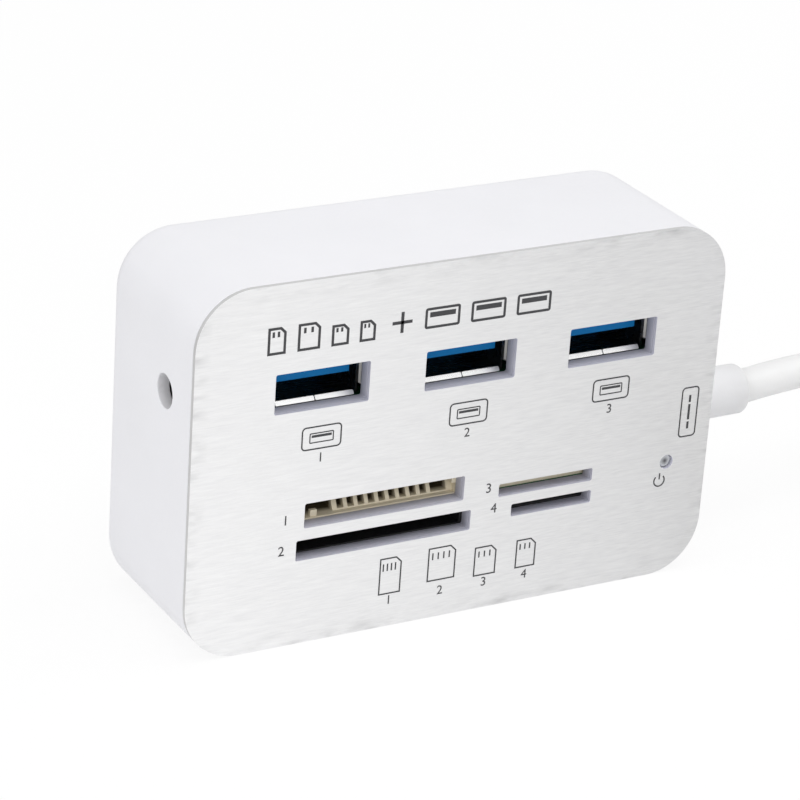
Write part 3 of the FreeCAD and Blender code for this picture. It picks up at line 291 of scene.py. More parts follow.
class Finish:
    """Principled material whose pattern follows the piece's own Object coordinates."""

    def __init__(self, name, base, roughness, metallic=0.0):
        self.material = bpy.data.materials.new(FINISH_PREFIX + name)
        self.material.use_nodes = True
        self.tree = self.material.node_tree
        self.surface = self.tree.nodes["Principled BSDF"]
        self.surface.inputs["Base Color"].default_value = (*base, 1.0)
        self.surface.inputs["Roughness"].default_value = roughness
        self.surface.inputs["Metallic"].default_value = metallic
        self.place = self.tree.nodes.new("ShaderNodeTexCoord").outputs["Object"]

    def link(self, source, target):
        self.tree.links.new(source, target)

    def axis(self, name):
        """Place along one axis, in metres."""
        axes = self.tree.nodes.new("ShaderNodeSeparateXYZ")
        self.link(self.place, axes.inputs["Vector"])
        return axes.outputs[name]

    def step(self, operation, source, amount=None):
        """Outputs of a vector node that works on a source, with an amount where it needs one."""
        node = self.tree.nodes.new("ShaderNodeVectorMath")
        node.operation = operation
        self.link(source, node.inputs[0])
        if amount is not None:
            node.inputs[1].default_value = amount
        return node.outputs

    def noise(self, grains, detail=4.0):
        """Noise with so many grains in each metre along X, Y and Z."""
        stretch = self.tree.nodes.new("ShaderNodeMapping")
        stretch.inputs["Scale"].default_value = grains
        self.link(self.place, stretch.inputs["Vector"])
        noise = self.tree.nodes.new("ShaderNodeTexNoise")
        noise.inputs["Scale"].default_value = 1.0
        noise.inputs["Detail"].default_value = detail
        self.link(stretch.outputs["Vector"], noise.inputs["Vector"])
        return noise.outputs["Fac"]

    def spread(self, factor, low, high, start=0.3, end=0.7):
        """Factor between start and end, as a number between low and high."""
        ranged = self.tree.nodes.new("ShaderNodeMapRange")
        ranged.inputs["From Min"].default_value = start
        ranged.inputs["From Max"].default_value = end
        ranged.inputs["To Min"].default_value = low
        ranged.inputs["To Max"].default_value = high
        self.link(factor, ranged.inputs["Value"])
        return ranged.outputs["Result"]

    def blend(self, factor, first, second):
        """Colour between two others, each a colour or a socket."""
        mix = self.tree.nodes.new("ShaderNodeMix")
        mix.data_type = "RGBA"
        self.link(factor, mix.inputs["Factor"])
        for identifier, value in (("A_Color", first), ("B_Color", second)):
            target = mix_socket(mix.inputs, identifier)
            if isinstance(value, bpy.types.NodeSocket):
                self.link(value, target)
            else:
                target.default_value = (*value, 1.0)
        return mix_socket(mix.outputs, "Result_Color")

    def tint(self, source):
        self.link(source, self.surface.inputs["Base Color"])

    def roughen(self, source):
        self.link(source, self.surface.inputs["Roughness"])

    def emboss(self, height, depth):
        """Bump of a real depth in metres."""
        bump = self.tree.nodes.new("ShaderNodeBump")
        bump.inputs["Strength"].default_value = 1.0
        bump.inputs["Distance"].default_value = depth
        self.link(height, bump.inputs["Height"])
        self.link(bump.outputs["Normal"], self.surface.inputs["Normal"])


def shaded(base, share):
    """Colour made lighter or darker by a share."""
    return tuple(min(1.0, channel * share) for channel in base)


def even(grains):
    """The same number of grains along every axis."""
    return (grains, grains, grains)


def grain_plastic(finish, base, roughness, cloud, clouds, grains):
    """Puts a fine grain and faint clouds on a plastic."""
    tone = finish.spread(finish.noise(even(clouds)), 0.0, 1.0)
    finish.tint(finish.blend(tone, shaded(base, cloud), base))
    fine = finish.noise(even(grains), 2.0)
    finish.roughen(finish.spread(fine, roughness - GLOSS_RANGE, roughness + GLOSS_RANGE))
    finish.emboss(fine, GRAIN_DEPTH)


def moulded_plastic(name, base, roughness, cloud=0.97, shine=0.5):
    """Hard plastic, whose clouds are a share of its colour."""
    finish = Finish(name, base, roughness)
    finish.surface.inputs["Specular IOR Level"].default_value = shine
    grain_plastic(finish, base, roughness, cloud, 70.0, PLASTIC_GRAIN)
    return finish.material


def soft_plastic(name, base, roughness):
    """Soft white plastic that lets some light through below its surface."""
    finish = Finish(name, base, roughness)
    finish.surface.inputs["Subsurface Weight"].default_value = 1.0
    finish.surface.inputs["Subsurface Radius"].default_value = (1.0, 1.0, 1.0)
    finish.surface.inputs["Subsurface Scale"].default_value = LIGHT_DEPTH
    grain_plastic(finish, base, roughness, 0.97, 90.0, SHEATH_GRAIN)
    return finish.material


def plated_metal(name, base, roughness):
    """Bright metal with faint rolling marks and clouded gloss."""
    finish = Finish(name, base, roughness, metallic=1.0)
    marks = finish.noise((120.0, 2200.0, 900.0), 2.0)
    clouds = finish.noise(even(160.0))
    finish.tint(finish.blend(finish.spread(clouds, 0.0, 1.0), shaded(base, 0.93), base))
    finish.roughen(finish.spread(marks, roughness - GLOSS_RANGE, roughness + GLOSS_RANGE))
    finish.emboss(marks, 0.000001)
    return finish.material


def brushed_panel():
    """Aluminium brushed along X, with darker patches near its outer edge."""
    base = settings().finishes.panel
    finish = Finish("brushed_aluminium", base, 0.36, metallic=1.0)
    finish.surface.inputs["Anisotropic"].default_value = 0.9
    finish.surface.inputs["Anisotropic Rotation"].default_value = 0.25
    fine = finish.noise((520.0, 1.0, 6400.0), 3.0)
    long = finish.noise((220.0, 1.0, 2300.0), 3.0)
    patch = finish.noise((90.0, 1.0, 200.0), 4.0)
    streaks = finish.blend(finish.spread(fine, 0.0, 1.0), shaded(base, 0.88), shaded(base, 1.06))
    bands = finish.blend(finish.spread(long, 0.0, 1.0), shaded(base, 0.92), shaded(base, 1.05))
    brushed = finish.blend(finish.spread(patch, 0.25, 0.75), streaks, bands)
    dark_patches = finish.spread(finish.noise((210.0, 1.0, 600.0), 5.0), 0.0, 0.6, 0.48, 0.8)
    edge_darkening = computed(finish.tree, "MULTIPLY", edge_nearness(finish), dark_patches)
    finish.tint(finish.blend(edge_darkening, brushed, shaded(base, 0.45)))
    finish.roughen(finish.spread(fine, 0.28, 0.46))
    finish.emboss(fine, 0.000005)
    return finish.material


def edge_nearness(finish):
    """Number that rises from 0 to 1 over the last millimetres before the panel's outline."""
    low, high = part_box("front_panel")
    middle = (low + high) / 2
    reach = 0.0045
    half = Vector(((high.x - low.x) / 2 - reach, 1.0, (high.z - low.z) / 2 - reach))
    source = finish.place
    for operation, amount in (
        ("SUBTRACT", middle),
        ("ABSOLUTE", None),
        ("SUBTRACT", half),
        ("MAXIMUM", Vector((0.0, 0.0, 0.0))),
    ):
        source = finish.step(operation, source, amount)["Vector"]
    away = finish.step("LENGTH", source)["Value"]
    return finish.spread(away, 0.0, 1.0, 0.5 * reach, reach)


def printed_ink():
    base = settings().finishes.ink
    finish = Finish("print_ink", base, 0.6)
    specks = finish.noise(even(9000.0), 2.0)
    finish.tint(finish.blend(finish.spread(specks, 0.0, 1.0), base, shaded(base, 1.9)))
    finish.emboss(specks, 0.000004)
    return finish.material


def circuit_board():
    """Green solder resist with paler copper tracks under it."""
    base = settings().finishes.board
    finish = Finish("circuit_board", base, 0.35)
    stretch = finish.tree.nodes.new("ShaderNodeMapping")
    stretch.inputs["Scale"].default_value = even(420.0)
    finish.link(finish.place, stretch.inputs["Vector"])
    cells = finish.tree.nodes.new("ShaderNodeTexVoronoi")
    cells.distance = "MANHATTAN"
    cells.feature = "DISTANCE_TO_EDGE"
    finish.link(stretch.outputs["Vector"], cells.inputs["Vector"])
    tracks = finish.spread(cells.outputs["Distance"], 1.0, 0.0, 0.05, 0.09)
    finish.tint(finish.blend(tracks, base, shaded(base, 2.2)))
    finish.emboss(tracks, 0.00002)
    return finish.material


def wire_cores():
    """Coloured wire sheaths side by side along Y."""
    finish = Finish("wire_cores", (0.3, 0.02, 0.02), 0.45)
    low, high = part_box("cable_cores")
    across = finish.spread(finish.axis("Y"), 0.0, 1.0, low.y, high.y)
    ramp = finish.tree.nodes.new("ShaderNodeValToRGB")
    ramp.color_ramp.interpolation = "CONSTANT"
    tints = ((0.02, 0.02, 0.02), (0.02, 0.25, 0.06), (0.75, 0.75, 0.72), (0.45, 0.02, 0.02))
    ramp.color_ramp.elements[0].color = (*tints[0], 1.0)
    ramp.color_ramp.elements[1].position = 0.25
    ramp.color_ramp.elements[1].color = (*tints[1], 1.0)
    for place, tint in zip((0.5, 0.75), tints[2:]):
        ramp.color_ramp.elements.new(place).color = (*tint, 1.0)
    finish.link(across, ramp.inputs["Fac"])
    finish.tint(ramp.outputs["Color"])
    finish.emboss(finish.noise(even(1500.0)), 0.00001)
    return finish.material


def cloudy_clear():
    """Clear plastic pin with a little haze, darker along its middle."""
    rim = (0.74, 0.76, 0.79)
    core = (0.14, 0.14, 0.15)
    core_radius = 0.0001
    rim_radius = 0.0006
    finish = Finish("clear_plastic", rim, 0.18)
    finish.surface.inputs["Transmission Weight"].default_value = 0.3
    finish.surface.inputs["IOR"].default_value = 1.49
    low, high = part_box("light_pipe")
    middle = (low + high) / 2
    flat = finish.step("MULTIPLY", finish.place, (1.0, 0.0, 1.0))["Vector"]
    away = finish.step("DISTANCE", flat, (middle.x, 0.0, middle.z))["Value"]
    outward = finish.spread(away, 0.0, 1.0, core_radius, rim_radius)
    finish.tint(finish.blend(outward, core, rim))
    haze = finish.noise(even(2400.0))
    finish.roughen(finish.spread(haze, 0.1, 0.3))
    return finish.material


def woven_strap():
    base = settings().finishes.strap
    finish = Finish("woven_strap", base, 0.85)
    weave = finish.noise((2600.0, 900.0, 2600.0), 3.0)
    finish.tint(finish.blend(finish.spread(weave, 0.0, 1.0), shaded(base, 0.6), shaded(base, 2.2)))
    finish.emboss(weave, 0.00008)
    return finish.material


def deepening_plastic(name, base, painted_shade, start, end):
    """Plastic whose colour turns along Y from its pale front to a darker painted shade further in."""
    finish = Finish(name, base, 0.5)
    depth = finish.spread(finish.axis("Y"), 0.0, 1.0, start, end)
    finish.tint(finish.blend(depth, base, painted_shade))
    finish.emboss(finish.noise(even(PLASTIC_GRAIN), 2.0), GRAIN_DEPTH)
    return finish.material


def window_plastic():
    """Plastic of the window walls, with painted shade that deepens from their front inward."""
    low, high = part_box("front_frame")
    base = settings().finishes.window
    return deepening_plastic("window_plastic", shaded(base, 1.2), shaded(base, 0.72), low.y, high.y)


def beige_plastic():
    """Beige plastic of the stick sockets, with brown painted shade in the gaps of its comb."""
    finishes = settings().finishes
    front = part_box("stick_socket")[0].y
    start, end = (front + depth for depth in GAP_SHADE_DEPTHS)
    return deepening_plastic("beige_plastic", finishes.socket_pale, finishes.socket_gap, start, end)


MAKERS = {
    "white_plastic": lambda: moulded_plastic("white_plastic", settings().finishes.casing, 0.42),
    "brushed_aluminium": brushed_panel,
    "print_ink": printed_ink,
    "blue_plastic": lambda: moulded_plastic(
        "blue_plastic", settings().finishes.port_plastic, 0.5, shine=0.15
    ),
    "beige_plastic": beige_plastic,
    "black_plastic": lambda: moulded_plastic(
        "black_plastic", settings().finishes.socket_dark, 0.5, cloud=0.7
    ),
    "window_plastic": window_plastic,
    "cut_edge": lambda: plated_metal("cut_edge", settings().finishes.cut_edge, 0.5),
    "plated_steel": lambda: plated_metal("plated_steel", settings().finishes.steel, 0.3),
    "port_steel": lambda: plated_metal("port_steel", settings().finishes.port_steel, 0.3),
    "lip_steel": lambda: plated_metal("lip_steel", settings().finishes.lip, 0.3),
    "shaded_side_lip_steel": lambda: plated_metal("shaded_side_lip_steel", settings().finishes.side_lip, 0.4),
    "contact_brass": lambda: plated_metal("contact_brass", settings().finishes.contact, 0.25),
    "can_aluminium": lambda: plated_metal("can_aluminium", (0.8, 0.8, 0.81), 0.3),
    "circuit_board": circuit_board,
    "wire_cores": wire_cores,
    "clear_plastic": cloudy_clear,
    "cable_sheath": lambda: soft_plastic("cable_sheath", settings().finishes.sheath, 0.5),
    "collar_plastic": lambda: soft_plastic("collar_plastic", settings().finishes.collar, 0.5),
    "plug_plastic": lambda: moulded_plastic("plug_plastic", (0.8, 0.8, 0.81), 0.45),
    "ceramic_tan": lambda: moulded_plastic("ceramic_tan", (0.42, 0.27, 0.14), 0.4, cloud=0.8),
    "tape_film": lambda: moulded_plastic("tape_film", (0.62, 0.6, 0.55), 0.6, cloud=0.9),
    "woven_strap": woven_strap,
}


def material(name):
    """Material of that name, made at its first use."""
    return bpy.data.materials.get(FINISH_PREFIX + name) or MAKERS[name]()


def paint(piece, name):
    piece.data.materials.clear()
    piece.data.materials.append(material(name))


def finish_piece(piece, finish):
    """Gives a piece its material and lets it ride on the body."""
    paint(piece, finish)
    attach(piece, BODY)


def paint_nodes(name, *nodes):
    for node in nodes:
        paint(NODES[node], name)


# Modelling helpers
def deselect_all():
    if bpy.context.object and bpy.context.object.mode != "OBJECT":
        bpy.ops.object.mode_set(mode="OBJECT")
    bpy.ops.object.select_all(action="DESELECT")


def take(piece):
    """Makes a piece the only one selected."""
    deselect_all()
    piece.select_set(True)
    bpy.context.view_layer.objects.active = piece


def apply_modifier(piece, kind, **values):
    take(piece)
    modifier = piece.modifiers.new(kind.title(), kind)
    for key, value in values.items():
        setattr(modifier, key, value)
    bpy.ops.object.modifier_apply(modifier=modifier.name)


def settle(piece):
    """Puts a piece's place and turn into its mesh."""
    take(piece)
    bpy.ops.object.transform_apply(location=True, rotation=True, scale=True)


def join_pieces(name, pieces):
    """One piece out of several."""
    deselect_all()
    for piece in pieces:
        piece.select_set(True)
    bpy.context.view_layer.objects.active = pieces[0]
    if len(pieces) > 1:
        bpy.ops.object.join()
    pieces[0].name = name
    return pieces[0]


def copy_piece(piece, shift):
    """Copy of a piece with a mesh of its own, moved by a shift."""
    take(piece)
    bpy.ops.object.duplicate(linked=False)
    twin = bpy.context.object
    twin.location = shift
    settle(twin)
    return twin


def softened_copy(node, name, edge, angle=40.0):
    """Copy of a CAD node with merged triangles and softened sharp edges, in the node's place."""
    piece = bpy.data.objects.new(name, NODES[node].data.copy())
    bpy.context.collection.objects.link(piece)
    take(piece)
    bpy.ops.object.mode_set(mode="EDIT")
    bpy.ops.mesh.select_all(action="SELECT")
    bpy.ops.mesh.remove_doubles(threshold=MERGE_DISTANCE)
    bpy.ops.mesh.dissolve_limited(angle_limit=FLAT_ANGLE)
    bpy.ops.object.mode_set(mode="OBJECT")
    bpy.ops.object.shade_smooth_by_angle(angle=math.radians(angle))
    apply_modifier(
        piece,
        "BEVEL",
        width=edge,
        segments=2,
        limit_method="ANGLE",
        angle_limit=math.radians(angle),
        harden_normals=True,
    )
    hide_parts(node)
    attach(piece, BODY)
    return piece


def round_rod(radius, long, place, turn):
    """Rod with rounded ends, turned out of the Z axis."""
    deselect_all()
    bpy.ops.mesh.primitive_cylinder_add(
        vertices=24, radius=radius, depth=long, location=place, rotation=turn
    )
    rod = bpy.context.object
    settle(rod)
    apply_modifier(
        rod, "BEVEL", width=0.6 * radius, segments=4, limit_method="ANGLE", angle_limit=math.radians(60.0)
    )
    take(rod)
    bpy.ops.object.shade_smooth_by_angle(angle=math.radians(60.0))
    return rod


def rounded_strip(width, height, place, turn, corner, thick):
    """Thin strip with rounded corners, faced along its own Z axis."""
    deselect_all()
    bpy.ops.mesh.primitive_plane_add(size=1.0, location=place, rotation=turn)
    strip = bpy.context.object
    strip.scale = (width, height, 1.0)
    settle(strip)
    round_corners(strip, corner, 4)
    apply_modifier(strip, "SOLIDIFY", thickness=thick, offset=0.0)
    return strip


# Marks on the panel
def flat_plate(width, height, place):
    """Flat rectangle on the panel's face, with its centre at a place along X and Z."""
    deselect_all()
    bpy.ops.mesh.primitive_plane_add(
        size=1.0, location=(place[0], PANEL_FACE, place[1]), rotation=TO_FRONT
    )
    plate = bpy.context.object
    plate.scale = (width, height, 1.0)
    settle(plate)
    return plate


def pick_vertices(piece, test):
    """Selects the vertices that pass a test, in edit mode."""
    bpy.ops.object.mode_set(mode="EDIT")
    bpy.ops.mesh.select_mode(type="VERT")
    bpy.ops.mesh.select_all(action="DESELECT")
    bpy.ops.object.mode_set(mode="OBJECT")
    for vertex in piece.data.vertices:
        vertex.select = test(vertex.co)
    bpy.ops.object.mode_set(mode="EDIT")


def round_corners(plate, radius, segments=5):
    take(plate)
    bpy.ops.object.mode_set(mode="EDIT")
    bpy.ops.mesh.select_mode(type="VERT")
    bpy.ops.mesh.select_all(action="SELECT")
    bpy.ops.mesh.bevel(offset=radius, segments=segments, affect="VERTICES")
    bpy.ops.object.mode_set(mode="OBJECT")


def clip_corner(plate, side, cut):
    """Cuts off the upper corner on one side of a plate, -1 at the left and 1 at the right."""
    take(plate)
    top = max(vertex.co.z for vertex in plate.data.vertices)
    end = max(vertex.co.x * side for vertex in plate.data.vertices)
    near = 0.00001
    pick_vertices(plate, lambda co: top - co.z < near and end - co.x * side < near)
    bpy.ops.mesh.bevel(offset=cut, segments=1, affect="VERTICES")
    bpy.ops.object.mode_set(mode="OBJECT")


def hollow(plate, line):
    """Leaves only an outline of a plate."""
    take(plate)
    bpy.ops.object.mode_set(mode="EDIT")
    bpy.ops.mesh.select_mode(type="FACE")
    bpy.ops.mesh.select_all(action="SELECT")
    bpy.ops.mesh.inset(thickness=line)
    bpy.ops.mesh.delete(type="FACE")
    bpy.ops.object.mode_set(mode="OBJECT")


def number_mark(text, height, place):
    """Plain number on the panel's face."""
    deselect_all()
    bpy.ops.object.text_add(location=(place[0], PANEL_FACE, place[1]), rotation=TO_FRONT)
    mark = bpy.context.object
    mark.data.body = text
    mark.data.size = height
    mark.data.align_x = "CENTER"
    mark.data.align_y = "CENTER"
    take(mark)
    bpy.ops.object.convert(target="MESH")
    mark = bpy.context.object
    settle(mark)
    return mark


def print_marks(name, marks):
    """Raises flat marks by the thickness of the ink and joins them into one print."""
    ink = join_pieces(name, marks)
    apply_modifier(ink, "SOLIDIFY", thickness=settings().details.ink_height, offset=1.0)
    finish_piece(ink, "print_ink")


def card_mark(width, height, place, line, cut, bars):
    """Outline of a card with a clipped corner and its row of contacts."""
    outline = flat_plate(width, height, place)
    clip_corner(outline, 1, cut)
    hollow(outline, line)
    pitch = (width - 2 * line - 0.6 * cut) / bars
    across = place[0] - width / 2 + line + 0.6 * pitch
    up = place[1] + height / 2 - 0.26 * height
    bar = flat_plate(min(line, 0.45 * pitch), 0.2 * height, (across, up))
    others = [copy_piece(bar, (pitch * index, 0.0, 0.0)) for index in range(1, bars)]
    return [outline, bar, *others]


def port_mark(width, height, place, line):
    """Outline of a port with its tongue."""
    outline = flat_plate(width, height, place)
    round_corners(outline, 0.12 * height, 3)
    hollow(outline, line)
    tongue = flat_plate(width - 4 * line, 0.24 * height, (place[0], place[1] + 0.16 * height))
    return [outline, tongue]


class HUB_OT_casing(bpy.types.Operator):
    """White casing, the frame behind the panel and the cable's collar"""

    bl_idname = "hub.casing"
    bl_label = "Casing"

    def execute(self, context):
        edge = settings().details.casing_edge
        for node, name, plastic in (
            ("rear_shell", "rear_casing", "white_plastic"),
            ("front_frame", "window_frame", "window_plastic"),
            ("strain_relief", "cable_collar", "collar_plastic"),
        ):
            piece = softened_copy(node, name, edge)
            paint(piece, plastic)
        paint_nodes("white_plastic", "shell_posts", "board_rails")
        paint_nodes("plated_steel", "frame_screws")
        paint_nodes("tape_film", "panel_tape")
        return {"FINISHED"}


class HUB_OT_panel(bpy.types.Operator):
    """Brushed aluminium panel"""

    bl_idname = "hub.panel"
    bl_label = "Panel"

    def execute(self, context):
        panel = softened_copy("front_panel", "brushed_panel", settings().details.panel_edge)
        paint(panel, "brushed_aluminium")
        panel.data.materials.append(material("cut_edge"))
        # The panel's cut faces in the windows get the frame's painted shade.
        panel.data.materials.append(material("window_plastic"))
        for face in panel.data.polygons:
            if abs(face.normal.y) < 0.5:
                face.material_index = 1 if self.is_outer(face.center) else 2
        return {"FINISHED"}

    def is_outer(self, place):
        """Whether a place on a cut edge is nearer to the panel's outline than any window is."""
        low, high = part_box("front_panel")
        border = 0.0035
        inside_x = low.x + border < place.x < high.x - border
        inside_z = low.z + border < place.z < high.z - border
        return not (inside_x and inside_z)


class HUB_OT_prints(bpy.types.Operator):
    """Printed marks on the panel: plain card and port shapes and numbers"""

    bl_idname = "hub.prints"
    bl_label = "Prints"

    def execute(self, context):
        details = settings().details
        self.print_headline(details.bold_line)
        self.print_port_marks(details.fine_line)
        self.print_slot_numbers()
        self.print_cards(details.fine_line)
        self.print_power_marks(details.fine_line)
        return {"FINISHED"}

    def print_headline(self, line):
        """Row of cards, a plus sign and a row of ports."""
        marks = []
        for across, wide, tall in HEADLINE_CARDS:
            place = (across, HEADLINE_UP - (HEADLINE_TALL - tall) / 2)
            marks += card_mark(wide, tall, place, THINNER * line, HEADLINE_CUT, HEADLINE_BARS)
        marks.append(flat_plate(PLUS_SIZE, line, (PLUS_ACROSS, HEADLINE_UP)))
        marks.append(flat_plate(line, PLUS_SIZE, (PLUS_ACROSS, HEADLINE_UP)))
        first, *others = HEADLINE_PORTS
        outline = port_mark(*HEADLINE_PORT_SIZE, (first, HEADLINE_UP), THINNER * line)
        port = join_pieces("headline_port", outline)
        marks += [port, *(copy_piece(port, (across - first, 0.0, 0.0)) for across in others)]
        print_marks("print_headline", marks)

    def print_port_marks(self, line):
        """Rounded box with a port in it and a number under it, below each port."""
        first, *others = SIGNS
        box = flat_plate(*SIGN_SIZE, (first, SIGN_UP))
        round_corners(box, BOX_CORNER)
        hollow(box, line)
        port = port_mark(*SIGN_PORT_SIZE, (first, SIGN_UP), THINNER * line)
        sign = join_pieces("port_sign", [box, *port])
        marks = [sign, *(copy_piece(sign, (across - first, 0.0, 0.0)) for across in others)]
        for number, across in zip(PORTS, SIGNS):
            marks.append(number_mark(str(number), NUMBER_HEIGHT, (across, SIGN_NUMBER_UP)))
        print_marks("print_port_marks", marks)

    def print_slot_numbers(self):
        """Number beside each card slot."""
        marks = []
        for index, place in enumerate(SLOT_NUMBERS, start=1):
            marks.append(number_mark(str(index), SLOT_NUMBER_HEIGHT, place))
        print_marks("print_slot_numbers", marks)

    def print_cards(self, line):
        """Outline of each kind of card with its slot's number."""
        marks = []
        for index, (place, wide, tall, bars) in enumerate(CARDS, start=1):
            marks += card_mark(wide, tall, place, line, CARD_CUT, bars)
            marks.append(number_mark(str(index), NUMBER_HEIGHT, (place[0], CARD_NUMBER_UP)))
        print_marks("print_cards", marks)

    def print_power_marks(self, line):
        """Tall box with a dashed bar, and the power sign under the light."""
        box = flat_plate(*POWER_BOX_SIZE, POWER_BOX_PLACE)
        round_corners(box, BOX_CORNER)
        hollow(box, line)
        marks = [box]
        for up, tall in POWER_BARS:
            marks.append(flat_plate(POWER_BAR_LINES * line, tall, (POWER_BOX_PLACE[0], up)))
        marks += self.power_sign(POWER_SIGN_RADIUS, line, POWER_SIGN_PLACE)
        print_marks("print_power_marks", marks)

    def power_sign(self, radius, line, place):
        """Ring that is open at the top, with a bar in the gap."""
        deselect_all()
        bpy.ops.mesh.primitive_circle_add(
            vertices=32,
            radius=radius,
            fill_type="NGON",
            location=(place[0], PANEL_FACE, place[1]),
            rotation=TO_FRONT,
        )
        ring = bpy.context.object
        settle(ring)
        hollow(ring, line)
        gap = 0.45 * radius
        pick_vertices(ring, lambda co: co.z > place[1] and abs(co.x - place[0]) < gap)
        bpy.ops.mesh.delete(type="VERT")
        bpy.ops.object.mode_set(mode="OBJECT")
        bar = flat_plate(line, radius, (place[0], place[1] + 0.7 * radius))
        return [ring, bar]


class HUB_OT_ports(bpy.types.Operator):
    """USB ports: steel shells, blue insulators and contacts"""

    bl_idname = "hub.ports"
    bl_label = "Ports"

    def execute(self, context):
        for number in PORTS:
            paint_nodes("port_steel", f"usb_shell_{number}")
            paint_nodes("blue_plastic", f"usb_tongue_{number}")
            paint_nodes("contact_brass", f"usb_contacts_{number}")
        middles = [self.middle(number) for number in PORTS]
        first = self.roll_lip(middles[0])
        lips = [first, *(copy_piece(first, (middle - middles[0], 0.0, 0.0)) for middle in middles[1:])]
        for number, lip in zip(PORTS, lips):
            lip.name = f"port_lip_{number}"
            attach(lip, BODY)
        return {"FINISHED"}

    def middle(self, number):
        """Middle of a port along X."""
        low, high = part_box(f"usb_tongue_{number}")
        return (low.x + high.x) / 2

    def roll_lip(self, middle):
        """Bent edges round a mouth, the lower one in two halves beside the shell's seam, the side ones
        darkened as painted shade.
        """
        details = settings().details
        pitch = (details.lip_length + details.lip_seam) / 2
        size = (pitch - details.lip_seam, details.lip_height)
        place = (middle + LIP_SHIFT - pitch / 2, *LIP_PLACE)
        half = rounded_strip(*size, place, (LIP_TILT, 0.0, 0.0), LIP_CORNER, LIP_SHEET)
        paint(half, "lip_steel")
        edges = [half, copy_piece(half, (pitch, 0.0, 0.0))]
        size = (details.side_lip_width, details.side_lip_length)
        for side in (-1, 1):
            place = (middle + side * SIDE_LIP_REACH, *SIDE_LIP_PLACE)
            turn = (math.pi / 2, 0.0, -side * LIP_TILT)
            edge = rounded_strip(*size, place, turn, SIDE_LIP_CORNER, LIP_SHEET)
            paint(edge, "shaded_side_lip_steel")
            edges.append(edge)
        return join_pieces("port_lip", edges)


class HUB_OT_card_sockets(bpy.types.Operator):
    """Card sockets with their contacts and covers"""

    bl_idname = "hub.card_sockets"
    bl_label = "Card sockets"

    def execute(self, context):
        paint_nodes("beige_plastic", "stick_socket", "micro_stick_socket")
        paint_nodes("black_plastic", "card_socket", "micro_card_socket")
        for slot in SLOTS:
            paint_nodes("contact_brass", f"{slot}_contacts")
            paint_nodes("plated_steel", f"{slot}_cover")
        return {"FINISHED"}


class HUB_OT_insides(bpy.types.Operator):
    """Power inlet, light, boards and what is soldered to them"""

    bl_idname = "hub.insides"
    bl_label = "Inlet, light and boards"

    def execute(self, context):
        paint_nodes("black_plastic", "hub_chip", "reader_chip", "link_header", "capacitor_bases")
        paint_nodes("black_plastic", "dc_jack_body")
        paint_nodes("contact_brass", "dc_jack_pin", "dc_jack_spring", "link_pins")
        paint_nodes("clear_plastic", "light_pipe", "power_led")
        paint_nodes("circuit_board", "hub_board", "reader_board")
        paint_nodes("plated_steel", "hub_crystal")
        paint_nodes("can_aluminium", "bulk_capacitors")
        paint_nodes("ceramic_tan", "ceramic_capacitors")
        paint_nodes("wire_cores", "cable_cores")
        return {"FINISHED"}


def coil_points():
    """Route of the turns: level on the right half, a diameter lower after each left half."""
    points = []
    for step in range(int(COIL_TURNS * POINTS_PER_TURN) + 1):
        turn = step / POINTS_PER_TURN
        angle = 2 * math.pi * turn
        whole = math.floor(turn)
        drop = whole + max(0.0, 2 * (turn - whole) - 1.0)
        points.append((
            COIL_CENTRE[0] + COIL_RADIUS * math.sin(angle),
            COIL_CENTRE[1] + COIL_RADIUS * math.cos(angle),
            COIL_TOP - drop * CABLE_DIAMETER,
        ))
    return points


class HUB_OT_cable(bpy.types.Operator):
    """Cable with its coil, the strap round it and the plug on its end"""

    bl_idname = "hub.cable"
    bl_label = "Cable and plug"

    def execute(self, context):
        route = [*CABLE_LEAD, *coil_points(), *CABLE_TAIL]
        line = bpy.data.curves.new("cable_line", "CURVE")
        line.dimensions = "3D"
        line.bevel_depth = CABLE_DIAMETER / 2
        line.bevel_resolution = 6
        line.use_fill_caps = True
        spline = line.splines.new("NURBS")
        spline.points.add(len(route) - 1)
        for point, place in zip(spline.points, route):
            point.co = (*place, 1.0)
        spline.order_u = 3
        spline.use_endpoint_u = True
        spline.resolution_u = 6
        cable = bpy.data.objects.new("cable_and_coil", line)
        bpy.context.collection.objects.link(cable)
        line.materials.append(material("cable_sheath"))
        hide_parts("cable", "cable_coil", "cable_tail")
        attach(cable, BODY)

        paint_nodes("woven_strap", "cable_tie")
        paint_nodes("plated_steel", "plug_shell")
        paint_nodes("plug_plastic", "plug_tongue")
        paint_nodes("contact_brass", "plug_contacts")
        moulding = softened_copy("plug_overmould", "plug_moulding", settings().details.casing_edge)
        paint(moulding, "white_plastic")
        self.make_grip()
        self.make_plug_windows()
        return {"FINISHED"}

    def make_grip(self):
        """Ridges across the plug's moulding, above and below."""
        details = settings().details
        low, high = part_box("plug_overmould")
        middle = (low.y + high.y) / 2
        below = low.z + details.ridge_radius
        above = high.z - RIDGE_SINK * details.ridge_radius
        place = (low.x + RIDGE_START, middle, below)
        ridge = round_rod(details.ridge_radius, details.ridge_length, place, TO_FRONT)
        steps = [(index * RIDGE_PITCH, 0.0, 0.0) for index in range(1, RIDGE_COUNT)]
        row = join_pieces("ridge_row", [ridge, *(copy_piece(ridge, step) for step in steps)])
        grip = join_pieces("plug_grip", [row, copy_piece(row, (0.0, 0.0, above - below))])
        finish_piece(grip, "white_plastic")
        return grip

    def make_plug_windows(self):
        """Black sheets for the latch windows on both faces of the plug's shell, standing in as painted
        shade for their holes.
        """
        low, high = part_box("plug_shell")
        middle = (low.y + high.y) / 2
        along, across = PLUG_WINDOW_PLACE
        place = (low.x + along, middle - across, low.z)
        window = rounded_strip(*PLUG_WINDOW, place, LEVEL, PLUG_WINDOW_CORNER, PLUG_WINDOW_SHEET)
        pair = join_pieces("window_pair", [window, copy_piece(window, (0.0, 2 * across, 0.0))])
        windows = join_pieces("plug_windows", [pair, copy_piece(pair, (0.0, 0.0, high.z - low.z))])
        finish_piece(windows, "black_plastic")
        return windows


